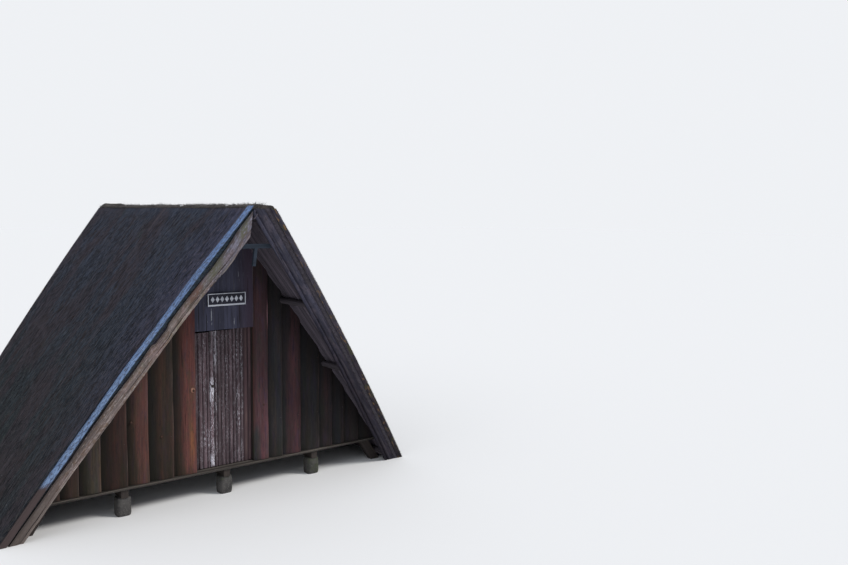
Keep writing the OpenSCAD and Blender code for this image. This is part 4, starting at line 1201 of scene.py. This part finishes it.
def panel_drips(tree, place, colour):
    """The panel turns purple-brown to the right, with pale flecks and two broken runs of pale paint."""
    at = own_xyz(tree)
    colour = stain(tree, colour, span(tree, at[0], 0.10, 0.34), 0.7, (0.040, 0.022, 0.036, 1))
    drip = group_node(tree, fleck_group, Place=place, Along=5.0, Across=60.0, Cover=0.26)["Mask"]
    for x, low, high, half in ((-0.167, 2.06, 2.27, 0.007), (0.124, 2.04, 2.14, 0.006)):
        apart = calc(tree, "ABSOLUTE", calc(tree, "SUBTRACT", at[0], x))
        run = calc(tree, "MULTIPLY", span(tree, at[2], low, low + 0.03),
                   span(tree, at[2], high, high - 0.02))
        frayed = calc(tree, "MULTIPLY", speckle(tree, place, (30, 90, 3), 3), 0.006)
        run = calc(tree, "MULTIPLY", run, span(tree, calc(tree, "SUBTRACT", apart, frayed), half, 0.0))
        run = calc(tree, "MULTIPLY", run, span(tree, speckle(tree, place, (22, 30, 3), 3, 0.6), 0.38, 0.52))
        drip = calc(tree, "MAXIMUM", drip, calc(tree, "MULTIPLY", run, 1.5))
    return paint(tree, calc(tree, "MINIMUM", calc(tree, "MULTIPLY", drip, 0.55), 1.0), colour,
                 (0.32, 0.33, 0.37, 1))


panel_finish = timber("slate_panel", (0.070, 0.072, 0.114, 1), (0.024, 0.024, 0.040, 1), lines=62,
                      cracks=0.9, layers=panel_drips)
panel_edges = (-OPENING, -0.255, -0.13, -0.005, 0.125, 0.25, OPENING)
PANEL_TONES = (0.45, 0.5, 0.4, 0.55, 0.45, 0.5)
slabs = slab_row(panel_edges, DOOR_TOP + 0.003, PANEL_TONES, (0.5,) * 6, step=0.006, proud=0.012, seed=6,
                 lap=0.0015)
piece("panel_over_door", [at_wall(slabs, WALL_FRONT)], panel_finish,
      replaces=["front_wall_top"])

# Sign board
# A small dark board with a thin painted border, nailed over the door. Its middle
# carries only a row of painted diamonds.
sign_wood = timber("sign_wood", (0.034, 0.033, 0.050, 1), (0.013, 0.013, 0.020, 1), lines=90, cracks=0.3)
white_paint = timber("sign_white", (0.80, 0.82, 0.90, 1), (0.34, 0.36, 0.41, 1), lines=90, cracks=0.5)
SIGN_X, SIGN_Y, SIGN_Z = 0.02, WALL_FRONT - 0.006, 2.365
HALF_W, HALF_H, DIAMONDS = 0.24, 0.075, 7
board = beam(0, (SIGN_X - HALF_W, SIGN_Y - 0.004, SIGN_Z - HALF_H),
             (SIGN_X + HALF_W, SIGN_Y + 0.017, SIGN_Z + HALF_H), wave=0.0006)
piece("sign_board", [loft(board, seed=3)], sign_wood)
face = SIGN_Y - 0.0065
# Each strip of the border: the axis it runs along, and its two opposite corners from the sign's middle.
STRIPS = ((0, (-HALF_W, -HALF_H), (HALF_W, -0.055)), (0, (-HALF_W, 0.065), (HALF_W, HALF_H)),
          (2, (-HALF_W, -HALF_H), (-0.231, HALF_H)), (2, (0.231, -HALF_H), (HALF_W, HALF_H)))
shells = []
for n, (axis, a, b) in enumerate(STRIPS):
    strip = beam(axis, (SIGN_X + a[0], face, SIGN_Z + a[1]), (SIGN_X + b[0], face + 0.0035, SIGN_Z + b[1]),
                 rows=24, points=12, wave=0.0004)
    shells.append(loft(strip, seed=n))
corner = np.array(((-0.024, 0), (0, -0.036), (0.024, 0), (0, 0.036)))
for n in range(DIAMONDS):
    x, z = SIGN_X + (n - 3) * 0.060 + corner[:, 0], SIGN_Z + 0.004 + corner[:, 1]
    rings = np.stack([np.stack((x, np.full(4, y), z), -1) for y in (face + 0.0005, face + 0.003)])
    shells.append(loft(rings, seed=n))
piece("sign_paint", shells, white_paint, sharp=30)

# Door leaf
# Fifteen narrow slats with rounded faces, nailed to three ledges. Their white paint has
# gone but for flecks on purple-grey wood, most of them on the fifth and sixth slats.
LEAF_Y, LEAF_Z, LEAF_W = -1.509, 0.338, 0.725
SLAT_T, HALF_GAP, SLATS, PALE_SLATS = 0.018, 0.0012, 15, 13
# How much white paint is left on each slat, from the left.
PAINT_LEFT = (0.24, 0.46, 0.36, 0.66, 0.84, 0.70, 0.26, 0.40, 0.70, 0.28, 0.36, 0.76, 0.64, 0.0, 0.0)


def door_flecks(tree, place, colour):
    """White flecks: fine ones in patches after hue, and long runs where hue is high."""
    hue = carried(tree, "hue")
    fine = group_node(tree, fleck_group, Place=place, Along=30.0, Across=120.0, Cover=0.50)["Mask"]
    runs = group_node(tree, fleck_group, Place=place, Along=24.0, Across=80.0, Cover=0.62)["Mask"]
    patchy = span(tree, speckle(tree, place, (3.5, 12, 9), 3, 0.5), 0.36, 0.60)
    mask = calc(tree, "MAXIMUM", calc(tree, "MULTIPLY", calc(tree, "MULTIPLY", fine, hue), patchy),
                calc(tree, "MULTIPLY", runs, span(tree, hue, 0.60, 1.15)))
    return paint(tree, mask, colour, (0.62, 0.61, 0.68, 1))


slat_finish = timber("faded_slat", (0.114, 0.075, 0.086, 1), (0.036, 0.023, 0.028, 1), lines=85, cracks=0.9,
                     depth=0.005, layers=door_flecks, rub_and_highlight_colour=(0.17, 0.13, 0.145, 1))
brown_slat = timber("brown_slat", (0.106, 0.060, 0.068, 1), (0.038, 0.021, 0.026, 1), lines=85, cracks=0.7,
                    depth=0.005, rub_and_highlight_colour=(0.14, 0.095, 0.08, 1))
pitch_x = LEAF_W / SLATS
chance = np.random.default_rng(15).random((SLATS, 5))
shifted = np.concatenate(((0,), (chance[1:, 0] - 0.5) * 0.015, (0,)))
joints = -LEAF_W / 2 + pitch_x * np.arange(SLATS + 1) + shifted
x0, x1 = joints[:-1, None, None] + HALF_GAP, joints[1:, None, None] - HALF_GAP
across = np.concatenate((np.linspace(0, 1, 11), (1, 0)))[None, None]
face = np.concatenate((np.ones(11), (0, 0)))[None, None]
f = np.linspace(0, 1, 60)[None, :, None]
number = np.arange(SLATS)[:, None, None] * 2.3
foot = LEAF_Z + 0.004 * chance[:, 1, None, None]
head = (DOOR_TOP - 0.003 - np.repeat((0.020, 0.010, 0.0), (4, 6, 5)) - 0.003 * chance[:, 2])[:, None, None]
rounding = (0.005 + 0.008 * chance[:, 4, None, None]) * np.abs(2 * across - 1) ** 2.6
round_face = rounding + 0.0012 * (1 + rugged(f * 12, number + across, 2))
x = x0 + across * (x1 - x0) + 0.0012 * rugged(f * 7, number, 4)
x = np.clip(x, -LEAF_W / 2, LEAF_W / 2 - 0.001) + 0.007 * across * (number == number.max())
y = LEAF_Y + round_face * face + (SLAT_T - 0.0004) * (1 - face)
z = foot + f * (head - foot) + 0 * across
flecked = np.array(PAINT_LEFT)[:, None, None] * (0.72 + 0.5 * rugged(f * 5, number, 9)) + 0 * across
flecked[4] += 0.9 * (np.exp(-((z[4] - 1.27) / 0.13) ** 2) + np.exp(-((z[4] - 0.42) / 0.06) ** 2))
flecked[4:6] += 0.30 * np.clip((z[4:6] - 1.40) * 5, 0, 1)
edge = np.where((face > 0.5) & (np.abs(across - 0.5) < 0.12), 0.8, 0.0) + 0 * f
slats = np.stack(np.broadcast_arrays(x, y, z), -1)
rounded = 1 - 0.5 * np.abs(2 * across - 1) ** 4 * face
tone = (0.24 + 0.36 * chance[:, 3])[:, None, None] * rounded * (0.85 + 0.3 * ripple(f * 4, number, 3))
flecked_slats = loft(slats[:PALE_SLATS], tone=tone[:PALE_SLATS], hue=flecked[:PALE_SLATS], edge=edge,
                     seed=15)
piece("door_boards", [flecked_slats], slat_finish, body="door", replaces=["door_slats"])
brown_slats = loft(slats[PALE_SLATS:], tone=tone[PALE_SLATS:], edge=edge, seed=16)
piece("door_boards_right", [brown_slats], brown_slat, body="door")
dress(timber("door_ledge", (0.075, 0.056, 0.050, 1), (0.026, 0.019, 0.018, 1), kind="X"), "door_ledges")

# Door furniture
# Forged straps with eyes hang on pintles inside the right post. Outside there is only a
# dark wooden peg to pull the leaf shut, and the heads of the nails.
iron_finish, tree, shader = material("forged_iron")
place = place_of(tree, "X")
scale = speckle(tree, place, (60, 60, 60), 5, 0.65)
rust = speckle(tree, place, (14, 14, 14), 5, 0.6)
colour = paint(tree, span(tree, scale, 0.35, 0.65), (0.022, 0.020, 0.020, 1), (0.060, 0.055, 0.052, 1))
colour = stain(tree, colour, span(tree, rust, 0.48, 0.62), 0.85, (0.120, 0.045, 0.020, 1))
tree.links.new(colour, shader.inputs["Base Color"])
tree.links.new(span(tree, rust, 0.4, 0.65, 0.45, 0.9), shader.inputs["Roughness"])
shader.inputs["Metallic"].default_value = 0.5
emboss(tree, shader, scale, 0.6, 0.002)
dress(iron_finish, "hinge_pintles", "hinge_straps")

peg_finish = timber("peg_wood", (0.026, 0.018, 0.015, 1), (0.008, 0.006, 0.006, 1), lines=90, cracks=0.4,
                    gloss=0.5)
PEG_RADIUS = 0.019
lo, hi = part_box("door_peg")
out_run = np.array((0, 0.25, 0.6, 0.85, 0.97, 1.0))[:, None]
girth = np.array((0.62, 0.60, 0.78, 1.0, 0.86, 0.45))[:, None] * PEG_RADIUS
turn = np.linspace(0, 2 * np.pi, 28, endpoint=False)
rings = np.stack(((lo[0] + hi[0]) / 2 + girth * np.cos(turn), hi[1] - out_run * (hi[1] - lo[1]) + 0 * turn,
                  (lo[2] + hi[2]) / 2 + girth * np.sin(turn)), -1)
piece("pull_peg", [loft(rings, seed=1)], peg_finish, body="door", replaces=["door_peg"])


def nail_heads(places, out, size=0.0045):
    """Small hammered heads: each is three rings of eight points, shrinking as they stand off the wood."""
    places, out = np.array(places, float), np.array(out, float)
    out = out / np.linalg.norm(out)
    side = np.cross(out, (0.3, 0.2, 0.93))
    side /= np.linalg.norm(side)
    up = np.cross(out, side)
    turn = np.arange(8) * np.pi / 4
    circle = np.cos(turn)[:, None] * side + np.sin(turn)[:, None] * up
    rows = [places[:, None] + size * g * circle[None] + size * h * out
            for g, h in ((1.0, -0.5), (1.0, 0.15), (0.6, 0.55))]
    return loft(np.stack(rows, 1))


# Heights of the ledges, and of the rails with how far their nails sit above them. The walls' nails keep
# away from the edge of a slab and from its top.
LEDGE_HEIGHTS, RAIL_HEIGHTS = (0.578, 1.169, 1.760), ((0.82, 0.0), (1.52, 0.01))
FROM_EDGE, FROM_TOP = 0.035, 0.15
nails = [(x, LEAF_Y, z + 0.018 * (-1) ** n) for z in LEDGE_HEIGHTS
         for n, x in enumerate((joints[:-1] + joints[1:]) / 2)]
piece("door_nails", [nail_heads(nails, (0, -1, 0), 0.0038)], iron_finish, body="door")
nail_x = np.concatenate((left_edges[1:], right_edges[1:-1])) - FROM_EDGE
wall_nails = [(x, WALL_FRONT + 0.004, z + up) for x in nail_x for z, up in RAIL_HEIGHTS
              if z < wall_top(np.array(x)) - FROM_TOP]
piece("wall_nails", [nail_heads(wall_nails, (0, -1, 0))], iron_finish)
